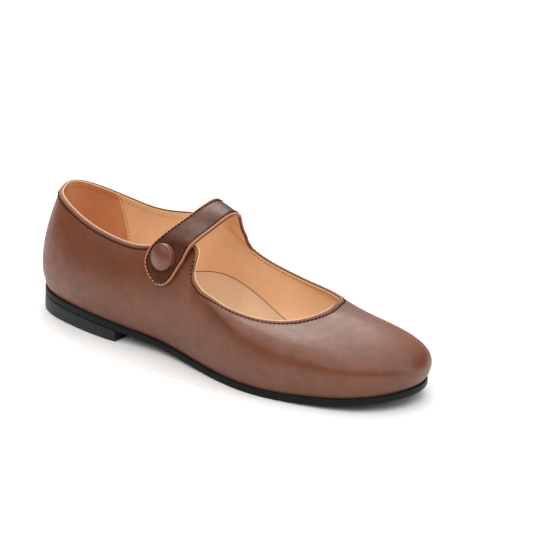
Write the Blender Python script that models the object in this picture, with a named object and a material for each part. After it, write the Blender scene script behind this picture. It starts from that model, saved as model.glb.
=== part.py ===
"""A low-heeled mary jane shoe for the right foot, standing on its sole.

Metres, +Z up, +X towards the toe, +Y towards the inner side of the foot. The floor is z = 0 and the
origin is the middle of the shoe's plan.

The upper is a set of ribs round the shoe. Each rib starts on the feather line, where the upper meets
the sole, swells out to the widest line and leans in to the topline. Every other piece takes its
outline from the same ribs.
"""

import math
from collections import namedtuple

import bmesh
import bpy
import numpy as np
from mathutils import Vector
from mathutils.bvhtree import BVHTree

MM = 0.001

# Overall sizes
SHOE_LENGTH = 242 * MM
BALL_WIDTH = 84 * MM
UPPER_HEIGHT = 54 * MM
HEEL_RISE = 9.1 * MM
TOE_SPRING = 8.5 * MM

# Thicknesses and clearances
UPPER_WALL = 2.0 * MM
TOPLINE_CREST = 0.3 * MM
SOLE_THICKNESS = 3.85 * MM
SOLE_MARGIN = 1.15 * MM
SOLE_EDGE_ROUND = 0.5 * MM
INSOLE_THICKNESS = 3.0 * MM
GAP = 0.3 * MM
INSOLE_EDGE_GAP = 0.4 * MM
INSOLE_CUP_RUN = 30 * MM

# Heel block
HEEL_LENGTH = 70 * MM
HEEL_EDGE_ROUND = 0.5 * MM

# Strap and button
STRAP_THICKNESS = 2.0 * MM
STRAP_EDGE_ROUND = 0.4 * MM
BUTTON_RADIUS = 7.2 * MM
BUTTON_HEIGHT = 4.6 * MM
BUTTON_SETBACK = 14.5 * MM
BUTTON_STANDOFF = 0.6 * MM

# How finely the surfaces are divided. TAB_TURNS are the places of the rows round the strap's tab end,
# in degrees of its half circle. FINE_PLACES and EDGE_PLACES are how many more places than ribs the
# spacing and the heel's outline are worked out from.
STATION_COUNT = 88
TURN_RADIUS = 14 * MM
LOWER_RINGS = 3
UPPER_RINGS = 8
OUTSOLE_COLUMNS = 4
INSOLE_COLUMNS = 6
HEEL_ROWS = 13
STRAP_COLUMNS = 4
STRAP_ROWS = 26
BUTTON_SIDES = 20
TAB_TURNS = (14.0, 32.0, 50.0, 68.0)
FINE_PLACES = 20
EDGE_PLACES = 10
MERGE_DISTANCE = 0.001 * MM
SHARP_ANGLE = 40.0

# One row per rib, from the heel back along the outer side to the toe tip and back along the inner
# side. wide_x, top_x are shares of SHOE_LENGTH; wide_y, top_y, tuck of BALL_WIDTH; wide_z, top_z, cup
# of UPPER_HEIGHT. tuck is how far the feather line lies inside the widest line, and cup is how far
# the insole's edge stands above its middle. low_pull and high_pull are the heights of the rib's two
# curve handles as shares of its rise, and lean is the second handle's share of its run.
Station = namedtuple(
    "Station", "name wide_x wide_y top_x top_y top_z low_pull high_pull lean tuck wide_z cup"
)
STATIONS = (
    Station("heel back", 0.003, -0.010, 0.028, -0.012, 0.965, 0.30, 0.65, 0.35, 0.031, 0.285, 0.055),
    Station("heel outer curve", 0.042, -0.241, 0.072, -0.160, 0.952, 0.31, 0.66, 0.35, 0.036, 0.260, 0.055),
    Station("heel outer side", 0.143, -0.366, 0.168, -0.250, 0.846, 0.33, 0.68, 0.35, 0.042, 0.290, 0.055),
    Station("seat outer side", 0.273, -0.407, 0.290, -0.289, 0.803, 0.33, 0.68, 0.35, 0.040, 0.295, 0.050),
    Station("waist outer side", 0.411, -0.406, 0.413, -0.286, 0.972, 0.33, 0.68, 0.35, 0.054, 0.297, 0.045),
    Station("ear top", 0.445, -0.417, 0.466, -0.290, 1.048, 0.33, 0.68, 0.35, 0.054, 0.293, 0.042),
    Station("ear front", 0.470, -0.428, 0.489, -0.320, 1.030, 0.34, 0.68, 0.35, 0.053, 0.290, 0.040),
    Station("ear foot", 0.500, -0.444, 0.493, -0.372, 0.878, 0.36, 0.69, 0.36, 0.050, 0.284, 0.038),
    Station("throat corner", 0.535, -0.463, 0.508, -0.396, 0.775, 0.38, 0.69, 0.36, 0.047, 0.278, 0.035),
    Station("throat outer side", 0.590, -0.491, 0.530, -0.404, 0.726, 0.40, 0.70, 0.37, 0.040, 0.268, 0.029),
    Station("ball outer side", 0.657, -0.515, 0.548, -0.404, 0.701, 0.43, 0.72, 0.37, 0.036, 0.260, 0.020),
    Station("toe outer side", 0.803, -0.457, 0.627, -0.358, 0.566, 0.50, 0.80, 0.39, 0.031, 0.240, 0.012),
    Station("toe outer curve", 0.936, -0.288, 0.714, -0.175, 0.458, 0.62, 0.88, 0.41, 0.031, 0.215, 0.010),
    Station("toe tip", 0.999, 0.011, 0.755, 0.042, 0.470, 0.68, 0.90, 0.42, 0.040, 0.160, 0.010),
    Station("toe inner curve", 0.968, 0.267, 0.739, 0.213, 0.465, 0.62, 0.88, 0.41, 0.032, 0.155, 0.010),
    Station("toe inner side", 0.865, 0.411, 0.714, 0.357, 0.502, 0.48, 0.59, 0.39, 0.032, 0.165, 0.012),
    Station("ball inner side", 0.732, 0.477, 0.618, 0.391, 0.596, 0.40, 0.68, 0.37, 0.038, 0.235, 0.030),
    Station("instep inner side", 0.580, 0.413, 0.492, 0.346, 0.767, 0.34, 0.68, 0.35, 0.062, 0.280, 0.055),
    Station("waist inner side", 0.437, 0.338, 0.389, 0.309, 0.979, 0.33, 0.68, 0.35, 0.085, 0.296, 0.345),
    Station("seat inner side", 0.273, 0.341, 0.257, 0.287, 0.874, 0.33, 0.68, 0.35, 0.066, 0.297, 0.150),
    Station("heel inner side", 0.136, 0.351, 0.138, 0.265, 0.893, 0.33, 0.68, 0.35, 0.043, 0.296, 0.060),
    Station("heel inner curve", 0.036, 0.256, 0.040, 0.142, 0.991, 0.32, 0.67, 0.35, 0.037, 0.292, 0.055),
)

# The sole's underside along the shoe: along is a share of SHOE_LENGTH, and its height is the heel
# share of HEEL_RISE plus the toe share of TOE_SPRING. It is flat under the ball.
SolePoint = namedtuple("SolePoint", "along heel toe")
SOLE_PROFILE = (
    SolePoint(0.000, 1.000, 0.000),
    SolePoint(0.240, 0.783, 0.000),
    SolePoint(0.372, 0.496, 0.000),
    SolePoint(0.496, 0.166, 0.000),
    SolePoint(0.600, 0.000, 0.000),
    SolePoint(0.702, 0.000, 0.000),
    SolePoint(0.826, 0.000, 0.203),
    SolePoint(0.930, 0.000, 0.520),
    SolePoint(1.033, 0.000, 1.000),
)

# The strap's two edges, from the tab on the outer side over the foot to its end inside the inner
# wall. x is a share of SHOE_LENGTH, y of BALL_WIDTH, and z of UPPER_HEIGHT above the sole's top. On
# both walls y only says on which side the strap lies, and the wall itself sets it.
StrapRow = namedtuple("StrapRow", "name rear_x rear_y rear_z front_x front_y front_z")
STRAP = (
    StrapRow("tab end", 0.363, -0.36, 0.650, 0.444, -0.36, 0.590),
    StrapRow("tab middle", 0.360, -0.34, 0.785, 0.452, -0.34, 0.785),
    StrapRow("below the topline", 0.368, -0.32, 0.905, 0.465, -0.35, 0.925),
    StrapRow("over the topline", 0.382, -0.280, 1.000, 0.478, -0.335, 1.072),
    StrapRow("off the wall", 0.396, -0.205, 1.092, 0.482, -0.255, 1.135),
    StrapRow("outer rise", 0.406, -0.095, 1.170, 0.482, -0.130, 1.175),
    StrapRow("crown", 0.411, 0.045, 1.235, 0.484, 0.035, 1.240),
    StrapRow("inner shoulder", 0.411, 0.170, 1.245, 0.478, 0.130, 1.225),
    StrapRow("inner bend", 0.406, 0.248, 1.195, 0.470, 0.208, 1.160),
    StrapRow("above the wall", 0.401, 0.270, 1.070, 0.465, 0.250, 1.030),
    StrapRow("inside the topline", 0.399, 0.270, 0.920, 0.465, 0.276, 0.880),
    StrapRow("sewn end", 0.397, 0.300, 0.780, 0.465, 0.310, 0.730),
)

# The button's profile: out is a share of BUTTON_RADIUS and up of BUTTON_HEIGHT.
ButtonRing = namedtuple("ButtonRing", "out up")
BUTTON = (
    ButtonRing(0.45, 0.00),
    ButtonRing(0.88, 0.12),
    ButtonRing(1.00, 0.34),
    ButtonRing(0.95, 0.58),
    ButtonRing(0.80, 0.79),
    ButtonRing(0.55, 0.93),
    ButtonRing(0.27, 0.99),
)

# Colours and roughnesses
LEATHER_ROUGHNESS = 0.42
LINING_ROUGHNESS = 0.50
RUBBER_ROUGHNESS = 0.45
BROWN_LEATHER = (0.150, 0.055, 0.034)
DARK_LEATHER = (0.105, 0.038, 0.024)
TAN_LEATHER = (0.640, 0.300, 0.150)
BLACK_RUBBER = (0.018, 0.018, 0.020)


def empty_scene():
    """Remove every object, so that only the shoe is left."""
    for leftover in list(bpy.data.objects):
        bpy.data.objects.remove(leftover, do_unlink=True)


def make_material(name, colour, roughness):
    """Return a plain material with one colour and one roughness."""
    material = bpy.data.materials.new(name)
    material.use_nodes = True
    shader = material.node_tree.nodes["Principled BSDF"]
    shader.inputs["Base Color"].default_value = (*colour, 1.0)
    shader.inputs["Roughness"].default_value = roughness
    shader.inputs["Metallic"].default_value = 0.0
    return material


def closed_spline(knots, values, where):
    """Return value and slope, at each place, of the smooth closed curve through values at knots.

    Knots start at 0 and stay below 1, and the curve closes at 1. Its second derivative is found from
    the usual equations of a cubic spline, whose last row runs on into its first.
    """
    count = len(knots)
    step = np.diff(np.append(knots, 1.0))
    climb = (np.roll(values, -1, axis=0) - values) / step[:, None]
    system = np.zeros((count, count))
    for here in range(count):
        before = (here - 1) % count
        after = (here + 1) % count
        system[here, before] += step[before]
        system[here, here] += 2.0 * (step[before] + step[here])
        system[here, after] += step[here]
    bend = np.linalg.solve(system, 6.0 * (climb - np.roll(climb, 1, axis=0)))
    first = np.searchsorted(knots, where, side="right") - 1
    last = (first + 1) % count
    width = step[first][:, None]
    done = (where - knots[first])[:, None]
    left = width - done
    value = (bend[first] * left**3 + bend[last] * done**3) / (6.0 * width)
    value += (values[first] / width - bend[first] * width / 6.0) * left
    value += (values[last] / width - bend[last] * width / 6.0) * done
    slope = (bend[last] * done**2 - bend[first] * left**2) / (2.0 * width)
    slope += (values[last] - values[first]) / width - (bend[last] - bend[first]) * width / 6.0
    return value, slope


def steady_slopes(places, heights):
    """Return slopes that never let a curve overshoot its points (harmonic means of its climbs)."""
    climb = np.diff(heights) / np.diff(places)
    slopes = np.zeros(len(places))
    rising = climb[:-1] * climb[1:] > 0.0
    both = climb[:-1] + climb[1:]
    slopes[1:-1][rising] = (2.0 * climb[:-1] * climb[1:])[rising] / both[rising]
    slopes[0] = climb[0]
    slopes[-1] = climb[-1]
    return slopes


def hermite(places, values, slopes, where):
    """Return the curve through values, with these slopes, at each place in where."""
    span = np.clip(np.searchsorted(places, where, side="right") - 1, 0, len(places) - 2)
    width = places[span + 1] - places[span]
    t = (where - places[span]) / width
    if values.ndim > 1:
        width = width[..., None]
        t = t[..., None]
    value = values[span] * (1.0 + 2.0 * t) * (1.0 - t) ** 2
    value = value + slopes[span] * width * t * (1.0 - t) ** 2
    value = value + values[span + 1] * t**2 * (3.0 - 2.0 * t)
    return value + slopes[span + 1] * width * t**2 * (t - 1.0)


def sole_bottom(x):
    """Return the height of the sole's underside at each x."""
    places = np.array([point.along for point in SOLE_PROFILE]) * SHOE_LENGTH
    heights = np.array([point.heel * HEEL_RISE + point.toe * TOE_SPRING for point in SOLE_PROFILE])
    inside = np.clip(x, places[0], places[-1])
    return hermite(places, heights, steady_slopes(places, heights), inside)


def sole_top(x):
    """Return the height of the sole's top at each x."""
    return sole_bottom(x) + SOLE_THICKNESS


def station_columns():
    """Return the rib table as real sizes, one column per value, and the place of each rib.

    A rib's place is its share of the way round the widest line.
    """
    table = np.array([station[1:] for station in STATIONS])
    scales = (
        [SHOE_LENGTH, BALL_WIDTH, SHOE_LENGTH, BALL_WIDTH, UPPER_HEIGHT]
        + [1.0, 1.0, 1.0]
        + [BALL_WIDTH, UPPER_HEIGHT, UPPER_HEIGHT]
    )
    table = table * np.array(scales)
    chord = np.linalg.norm(np.roll(table[:, :2], -1, axis=0) - table[:, :2], axis=1)
    way = np.concatenate([[0.0], np.cumsum(chord)])
    return way[:-1] / way[-1], table


class Last:
    """The foot form that the shoe is made on: its ribs at a number of places round the shoe."""

    def __init__(self, places):
        """Work out the lines of the form, and the ribs of the upper's outer face, at these places."""
        knots, table = station_columns()
        values, slopes = closed_spline(knots, table, places)
        self.wide = values[:, 0:2]
        self.top = values[:, 2:4]
        self.top_rise = values[:, 4]
        self.low_pull = values[:, 5]
        self.high_pull = values[:, 6]
        self.lean = values[:, 7]
        self.tuck = values[:, 8]
        self.wide_rise = values[:, 9]
        self.cup = values[:, 10]
        outward = np.column_stack([slopes[:, 1], -slopes[:, 0]])
        self.outward = outward / np.linalg.norm(outward, axis=1)[:, None]
        self.feather = self.wide - self.outward * self.tuck[:, None]
        self.base = sole_top(self.feather[:, 0])
        self.ribs = self.outer_ribs()
        self.normals = self.rib_normals()

    def outer_ribs(self):
        """Return the points of the ribs, by place round the shoe and by height.

        Below the widest line a rib is a parabola that ends upright. Above it, it is one cubic curve
        that starts upright and leans in to the topline.
        """
        up = np.linspace(0.0, 1.0, LOWER_RINGS + 1)[None, :]
        out = 2.0 * up - up**2
        foot = self.base + GAP
        low_xy = self.feather[:, None] + (self.wide - self.feather)[:, None] * out[..., None]
        middle = self.base + self.wide_rise
        low_z = foot[:, None] + (middle - foot)[:, None] * up
        t = np.linspace(0.0, 1.0, UPPER_RINGS + 1)[None, 1:]
        first = 3.0 * (1.0 - t) ** 2 * t
        second = 3.0 * (1.0 - t) * t**2
        run = second * self.lean[:, None] + t**3
        rise = first * self.low_pull[:, None] + second * self.high_pull[:, None] + t**3
        high_xy = self.wide[:, None] + (self.top - self.wide)[:, None] * run[..., None]
        high_z = middle[:, None] + (self.top_rise - self.wide_rise)[:, None] * rise
        plan = np.concatenate([low_xy, high_xy], axis=1)
        heights = np.concatenate([low_z, high_z], axis=1)
        return np.concatenate([plan, heights[..., None]], axis=2)

    def rib_normals(self):
        """Return the outward normals of the outer face, from the slopes of its grid."""
        around = np.roll(self.ribs, -1, axis=0) - np.roll(self.ribs, 1, axis=0)
        upward = np.gradient(self.ribs, axis=1)
        normals = np.cross(around, upward)
        return normals / np.linalg.norm(normals, axis=2, keepdims=True)

    def face(self, depth):
        """Return the ribs moved inwards by a depth, with one more ring that stands on the sole."""
        moved = self.ribs - self.normals * depth
        plan = self.feather - self.outward * depth
        foot = np.column_stack([plan, sole_top(plan[:, 0]) + GAP])
        return np.concatenate([foot[:, None], moved], axis=1)

    def outline(self, margin):
        """Return the plan of the feather line moved outwards by a margin."""
        return self.feather + self.outward * margin


def even_places(count):
    """Return evenly spaced places round the shoe, from the heel back."""
    return np.arange(count) / count


def turning_places(count):
    """Return places round the shoe that lie closer where the widest line or the topline turns.

    The effort of each short step is its length plus TURN_RADIUS times its turn, and the places
    share out that effort evenly.
    """
    knots, table = station_columns()
    fine = even_places(FINE_PLACES * count)
    values, slopes = closed_spline(knots, table, fine)
    effort = np.zeros(len(fine))
    for first, last in ((0, 2), (2, 5)):
        line = values[:, first:last]
        heading = slopes[:, first:last]
        heading = heading / np.linalg.norm(heading, axis=1)[:, None]
        effort += np.linalg.norm(np.roll(line, -1, axis=0) - line, axis=1)
        effort += TURN_RADIUS * np.linalg.norm(np.roll(heading, -1, axis=0) - heading, axis=1)
    spent = np.concatenate([[0.0], np.cumsum(effort)])
    return np.interp(even_places(count) * spent[-1], spent, np.append(fine, 1.0))


def stand_on(plan, height):
    """Return plan points as space points at a height for each x."""
    return np.column_stack([plan, height(plan[:, 0])])


def slices_across(top_edge, bottom_edge, sides, columns, top_height, bottom_height):
    """Return closed slices across the shoe, from the heel back to the toe tip.

    top_edge, bottom_edge and sides are rings round the shoe, sides from the top down. Each slice
    joins a place on the outer side to the same place on the inner side.
    """
    half = len(top_edge) // 2
    slices = []
    for outer in range(half + 1):
        inner = -outer
        points = []
        for column in range(columns + 1):
            share = column / columns
            points.append(top_height(top_edge[outer], top_edge[inner], share))
        points.extend(side[inner] for side in sides)
        for column in range(columns + 1):
            share = 1.0 - column / columns
            points.append(bottom_height(bottom_edge[outer], bottom_edge[inner], share))
        points.extend(side[outer] for side in reversed(sides))
        slices.append(points)
    return np.array(slices)


def between(outer, inner, share, height):
    """Return the point at a share of the way across, at a height for its x."""
    point = outer + (inner - outer) * share
    point[2] = height(point[0])
    return point


def grid_faces(rows, columns, close_rows):
    """Return the quads of a grid of points whose columns close, and whose rows may close too."""
    faces = []
    for row in range(rows if close_rows else rows - 1):
        after = (row + 1) % rows
        for column in range(columns):
            beside = (column + 1) % columns
            faces.append(
                (
                    row * columns + column,
                    row * columns + beside,
                    after * columns + beside,
                    after * columns + column,
                )
            )
    return faces


def add_piece(name, points, faces, material):
    """Add one closed piece from its points and faces, shaded smooth but for its sharp edges."""
    mesh = bpy.data.meshes.new(name)
    mesh.from_pydata([tuple(point) for point in points], [], faces)
    form = bmesh.new()
    form.from_mesh(mesh)
    bmesh.ops.remove_doubles(form, verts=form.verts, dist=MERGE_DISTANCE)
    bmesh.ops.recalc_face_normals(form, faces=form.faces)
    if form.calc_volume(signed=True) < 0.0:
        bmesh.ops.reverse_faces(form, faces=form.faces)
    form.to_mesh(mesh)
    form.free()
    mesh.materials.append(material)
    mesh.shade_smooth()
    mesh.set_sharp_from_angle(angle=math.radians(SHARP_ANGLE))
    piece = bpy.data.objects.new(name, mesh)
    bpy.context.scene.collection.objects.link(piece)
    return piece


def add_grid(name, grid, close_rows, material):
    """Add a piece from a grid of points, with its two ends capped unless its rows close."""
    rows, columns = grid.shape[:2]
    faces = grid_faces(rows, columns, close_rows)
    if not close_rows:
        faces.append(tuple(range(columns)))
        faces.append(tuple(range((rows - 1) * columns, rows * columns)))
    return add_piece(name, grid.reshape(-1, 3), faces, material)


def add_tapered_grid(name, grid, material):
    """Add a piece from slices whose first and last slice are upright lines, so need no cap."""
    rows, columns = grid.shape[:2]
    return add_piece(name, grid.reshape(-1, 3), grid_faces(rows, columns, False), material)


def build_outsole(last, material):
    """The thin sole: its plan is the feather line plus a margin, with softened edges."""
    wide = last.outline(SOLE_MARGIN)
    narrow = last.outline(SOLE_MARGIN - SOLE_EDGE_ROUND)
    upper_side = stand_on(wide, lambda x: sole_top(x) - SOLE_EDGE_ROUND)
    lower_side = stand_on(wide, lambda x: sole_bottom(x) + SOLE_EDGE_ROUND)
    grid = slices_across(
        stand_on(narrow, sole_top),
        stand_on(narrow, sole_bottom),
        [upper_side, lower_side],
        OUTSOLE_COLUMNS,
        lambda outer, inner, share: between(outer, inner, share, sole_top),
        lambda outer, inner, share: between(outer, inner, share, sole_bottom),
    )
    return add_tapered_grid("outsole", grid, material)


def heel_edge(margin):
    """Return the heel block's outline at a margin from the feather line, outer and inner side.

    Both run from the heel back to the breast, the straight front of the heel.
    """
    places = even_places(EDGE_PLACES * STATION_COUNT)
    plan = Last(places).outline(margin)
    half = len(places) // 2
    sides = []
    for side in (plan[: half + 1], np.vstack([plan[:1], plan[half:][::-1]])):
        ahead = np.argmax(side[:, 0] > HEEL_LENGTH)
        back, front = side[ahead - 1], side[ahead]
        share = (HEEL_LENGTH - back[0]) / (front[0] - back[0])
        line = np.vstack([side[:ahead], back + (front - back) * share])
        way = np.concatenate([[0.0], np.cumsum(np.linalg.norm(np.diff(line, axis=0), axis=1))])
        steps = np.linspace(0.0, way[-1], HEEL_ROWS)
        columns = [np.interp(steps, way, line[:, axis]) for axis in range(2)]
        sides.append(np.column_stack(columns))
    return sides


def build_heel_block(material):
    """The heel: flat on the floor, and under the outsole's own curve on top."""

    def block_top(x):
        return sole_bottom(x) - GAP

    wide = heel_edge(SOLE_MARGIN)
    narrow = heel_edge(SOLE_MARGIN - HEEL_EDGE_ROUND)
    slices = []
    for row in range(HEEL_ROWS):
        outer, inner = wide[0][row], wide[1][row]
        outer_low, inner_low = narrow[0][row], narrow[1][row]
        points = []
        for share in (0.0, 0.5, 1.0):
            across = outer + (inner - outer) * share
            points.append((*across, block_top(across[0])))
        points.append((*inner, HEEL_EDGE_ROUND))
        for share in (1.0, 0.5, 0.0):
            points.append((*(outer_low + (inner_low - outer_low) * share), 0.0))
        points.append((*outer, HEEL_EDGE_ROUND))
        slices.append(points)
    grid = np.array(slices)
    rows, columns = grid.shape[:2]
    faces = grid_faces(rows, columns, False)
    faces.append(tuple(range((rows - 1) * columns, rows * columns)))
    return add_piece("heel_block", grid.reshape(-1, 3), faces, material)


def insole_ring(ribs, heights):
    """Return the point of each rib at its own height."""
    ring = []
    for rib, height in zip(ribs, heights):
        ring.append([np.interp(height, rib[:, 2], rib[:, axis]) for axis in range(2)] + [height])
    return np.array(ring)


def build_insole(last, material):
    """The footbed: it lies on the sole and its edge climbs the wall, highest under the arch."""
    clear = last.face(UPPER_WALL + INSOLE_EDGE_GAP)
    bottom = clear[:, 0]
    edge_heights = bottom[:, 2] + INSOLE_THICKNESS + last.cup
    edge = insole_ring(clear, edge_heights)
    half_way = insole_ring(clear, 0.5 * (bottom[:, 2] + edge_heights))

    def bed(outer, inner, share):
        point = outer + (inner - outer) * share
        middle = sole_top(point[0]) + GAP + INSOLE_THICKNESS
        rim_distance = min(share, 1.0 - share) * np.linalg.norm(inner[:2] - outer[:2])
        nearness = max(0.0, 1.0 - rim_distance / INSOLE_CUP_RUN) ** 2
        rim = outer[2] if share < 0.5 else inner[2]
        point[2] = middle + (rim - middle) * nearness
        return point

    def underside(outer, inner, share):
        return between(outer, inner, share, lambda x: sole_top(x) + GAP)

    low = clear[:, 1]
    grid = slices_across(edge, bottom, [half_way, low], INSOLE_COLUMNS, bed, underside)
    return add_tapered_grid("insole", grid, material)


def build_upper(last, material):
    """The hollow upper: outer face, rounded topline, inner face and the foot on the sole."""
    outer = last.ribs
    inner = last.face(UPPER_WALL)
    climb = outer[:, -1] - outer[:, -2]
    climb = climb / np.linalg.norm(climb, axis=1)[:, None]
    crest = 0.5 * (outer[:, -1] + inner[:, -1]) + climb * TOPLINE_CREST
    grid = np.concatenate([outer, crest[:, None], inner[:, ::-1]], axis=1)
    return add_grid("upper", grid, True, material)


def wall_tree(ribs):
    """Return a search tree of the open surface through these ribs."""
    rows, columns = ribs.shape[:2]
    faces = []
    for row in range(rows):
        after = (row + 1) % rows
        for column in range(columns - 1):
            faces.append(
                (
                    row * columns + column,
                    row * columns + column + 1,
                    after * columns + column + 1,
                    after * columns + column,
                )
            )
    return BVHTree.FromPolygons([Vector(point) for point in ribs.reshape(-1, 3)], faces)


def wall_y(tree, x, start_y, height):
    """Return y of the first wall met from start_y towards the inner side, or None above the wall."""
    met = tree.ray_cast(Vector((x, start_y, height)), Vector((0.0, 1.0, 0.0)))
    return None if met[0] is None else met[0].y


def strap_edges():
    """Return the strap's rear and front edge as points in space, one pair per table row."""
    edges = []
    for x, y, z in (("rear_x", "rear_y", "rear_z"), ("front_x", "front_y", "front_z")):
        along = np.array([getattr(row, x) for row in STRAP]) * SHOE_LENGTH
        across = np.array([getattr(row, y) for row in STRAP]) * BALL_WIDTH
        height = sole_top(along) + np.array([getattr(row, z) for row in STRAP]) * UPPER_HEIGHT
        edges.append(np.column_stack([along, across, height]))
    return edges


def strap_grid(last):
    """Return the strap's middle face and its normals, by row along the strap and by column.

    The rows lie closer on the rounded tab end. On the walls the strap is moved clear of them: it
    lies outside the outer wall, and inside the inner one.
    """
    rear, front = strap_edges()
    centre = 0.5 * (rear + front)
    way = np.concatenate([[0.0], np.cumsum(np.linalg.norm(np.diff(centre, axis=0), axis=1))])
    half_width = 0.5 * np.linalg.norm(front[0] - rear[0])
    turns = np.radians(TAB_TURNS)
    rounded = half_width * (1.0 - np.cos(turns))
    rows = np.concatenate([rounded, np.linspace(half_width, way[-1], STRAP_ROWS)])
    narrowing = np.concatenate([np.sin(turns), np.ones(STRAP_ROWS)])
    rear = hermite(way, rear, np.gradient(rear, way, axis=0), rows)
    front = hermite(way, front, np.gradient(front, way, axis=0), rows)
    across = np.linspace(-1.0, 1.0, STRAP_COLUMNS + 1)[None, :, None]
    middle = 0.5 * (rear + front)[:, None]
    grid = middle + 0.5 * (front - rear)[:, None] * across * narrowing[:, None, None]
    clearance = GAP + 0.5 * STRAP_THICKNESS
    outer_wall = wall_tree(last.ribs + last.normals * clearance)
    inner_wall = wall_tree(last.ribs - last.normals * (UPPER_WALL + clearance))
    for point in grid.reshape(-1, 3):
        if point[1] < 0.0:
            limit = wall_y(outer_wall, point[0], -BALL_WIDTH, point[2])
        else:
            limit = wall_y(inner_wall, point[0], 0.0, point[2])
        if limit is not None:
            point[1] = min(point[1], limit)
    along = np.gradient(grid, axis=0)
    sideways = np.gradient(grid, axis=1)
    normals = np.cross(sideways, along)
    return rows, grid, normals / np.linalg.norm(normals, axis=2, keepdims=True)


def build_strap(middle, normals, material):
    """The strap: one band with a rounded tab, over the foot from the outer wall to the inner."""
    half = 0.5 * STRAP_THICKNESS
    face = middle + normals * half
    back = middle - normals * half
    outward = middle[:, 0] - middle[:, 1]
    rear = middle[:, 0] + outward / np.linalg.norm(outward, axis=1)[:, None] * STRAP_EDGE_ROUND
    outward = middle[:, -1] - middle[:, -2]
    front = middle[:, -1] + outward / np.linalg.norm(outward, axis=1)[:, None] * STRAP_EDGE_ROUND
    grid = np.concatenate([face, front[:, None], back[:, ::-1], rear[:, None]], axis=1)
    return add_grid("strap", grid, False, material)


def build_button(rows, middle, normals, material):
    """The button: a leather dome lying on the tab."""
    centre_line = middle[:, STRAP_COLUMNS // 2]
    directions = normals[:, STRAP_COLUMNS // 2]
    seat = [np.interp(BUTTON_SETBACK, rows, centre_line[:, axis]) for axis in range(3)]
    facing = [np.interp(BUTTON_SETBACK, rows, directions[:, axis]) for axis in range(3)]
    points = []
    faces = grid_faces(len(BUTTON), BUTTON_SIDES, False)
    for ring in BUTTON:
        for side in range(BUTTON_SIDES):
            turn = 2.0 * math.pi * side / BUTTON_SIDES
            out = ring.out * BUTTON_RADIUS
            points.append((out * math.cos(turn), out * math.sin(turn), ring.up * BUTTON_HEIGHT))
    points.append((0.0, 0.0, BUTTON_HEIGHT))
    last_ring = (len(BUTTON) - 1) * BUTTON_SIDES
    for side in range(BUTTON_SIDES):
        faces.append((last_ring + side, last_ring + (side + 1) % BUTTON_SIDES, len(points) - 1))
    faces.append(tuple(range(BUTTON_SIDES)))
    button = add_piece("button", points, faces, material)
    normal = Vector(facing).normalized()
    button.rotation_euler = normal.to_track_quat("Z", "Y").to_euler()
    button.location = Vector(seat) + normal * (0.5 * STRAP_THICKNESS + BUTTON_STANDOFF)
    return button


def centre_on_plan(pieces):
    """Move the whole shoe so that the middle of its plan is the origin."""
    bpy.context.view_layer.update()
    corners = [piece.matrix_world @ vertex.co for piece in pieces for vertex in piece.data.vertices]
    x_values = [corner.x for corner in corners]
    y_values = [corner.y for corner in corners]
    middle = Vector((0.5 * (min(x_values) + max(x_values)), 0.5 * (min(y_values) + max(y_values)), 0.0))
    for piece in pieces:
        piece.location -= middle


def build_shoe():
    """Build every piece of the shoe."""
    empty_scene()
    last = Last(turning_places(STATION_COUNT))
    strap_rows, strap_middle, strap_normals = strap_grid(last)
    leather = make_material("brown_leather", BROWN_LEATHER, LEATHER_ROUGHNESS)
    strap_leather = make_material("strap_leather", DARK_LEATHER, LEATHER_ROUGHNESS)
    button_leather = make_material("button_leather", BROWN_LEATHER, LEATHER_ROUGHNESS)
    lining = make_material("tan_leather", TAN_LEATHER, LINING_ROUGHNESS)
    sole_rubber = make_material("sole_rubber", BLACK_RUBBER, RUBBER_ROUGHNESS)
    heel_rubber = make_material("heel_rubber", BLACK_RUBBER, RUBBER_ROUGHNESS)
    pieces = [
        build_outsole(last, sole_rubber),
        build_heel_block(heel_rubber),
        build_insole(last, lining),
        build_upper(last, leather),
        build_strap(strap_middle, strap_normals, strap_leather),
        build_button(strap_rows, strap_middle, strap_normals, button_leather),
    ]
    centre_on_plan(pieces)


build_shoe()
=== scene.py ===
"""The finish of a low-heeled mary jane shoe for the right foot.

Laid out as a Blender add-on: the sizes and colours that a user would change are properties, each
group of pieces has an operator, and one panel lists them. Run as a script, it makes the whole shoe.

The forms are worked out on the last, which has its heel back at x = 0, +X towards the toe, +Y
towards the inner side of the foot and the floor at z = 0. A surface is a function of the place
round the shoe and of the height up the wall.
"""

import math
from collections import namedtuple

import bmesh
import bpy
import numpy as np
from mathutils import Matrix, Vector


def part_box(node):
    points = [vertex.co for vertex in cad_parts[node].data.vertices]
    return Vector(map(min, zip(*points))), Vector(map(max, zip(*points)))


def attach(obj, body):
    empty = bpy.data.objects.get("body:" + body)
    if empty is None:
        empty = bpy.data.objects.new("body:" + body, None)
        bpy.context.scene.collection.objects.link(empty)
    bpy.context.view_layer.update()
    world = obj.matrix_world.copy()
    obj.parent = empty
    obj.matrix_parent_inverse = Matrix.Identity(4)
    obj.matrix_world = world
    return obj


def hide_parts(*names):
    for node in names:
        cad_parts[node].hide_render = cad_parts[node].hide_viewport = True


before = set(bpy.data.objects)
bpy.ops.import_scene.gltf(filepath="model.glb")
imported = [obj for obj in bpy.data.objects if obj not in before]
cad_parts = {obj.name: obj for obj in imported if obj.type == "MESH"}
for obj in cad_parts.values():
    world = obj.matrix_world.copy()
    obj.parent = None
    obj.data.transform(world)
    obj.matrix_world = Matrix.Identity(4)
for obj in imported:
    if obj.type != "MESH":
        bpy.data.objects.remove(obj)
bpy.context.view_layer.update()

bl_info = {
    "name": "Mary Jane Shoe",
    "version": (1, 0, 0),
    "blender": (4, 5, 0),
    "location": "View3D > Sidebar > Shoe",
    "description": "A leather mary jane shoe with a buttoned strap",
    "category": "Add Mesh",
}

MM = 0.001

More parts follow.
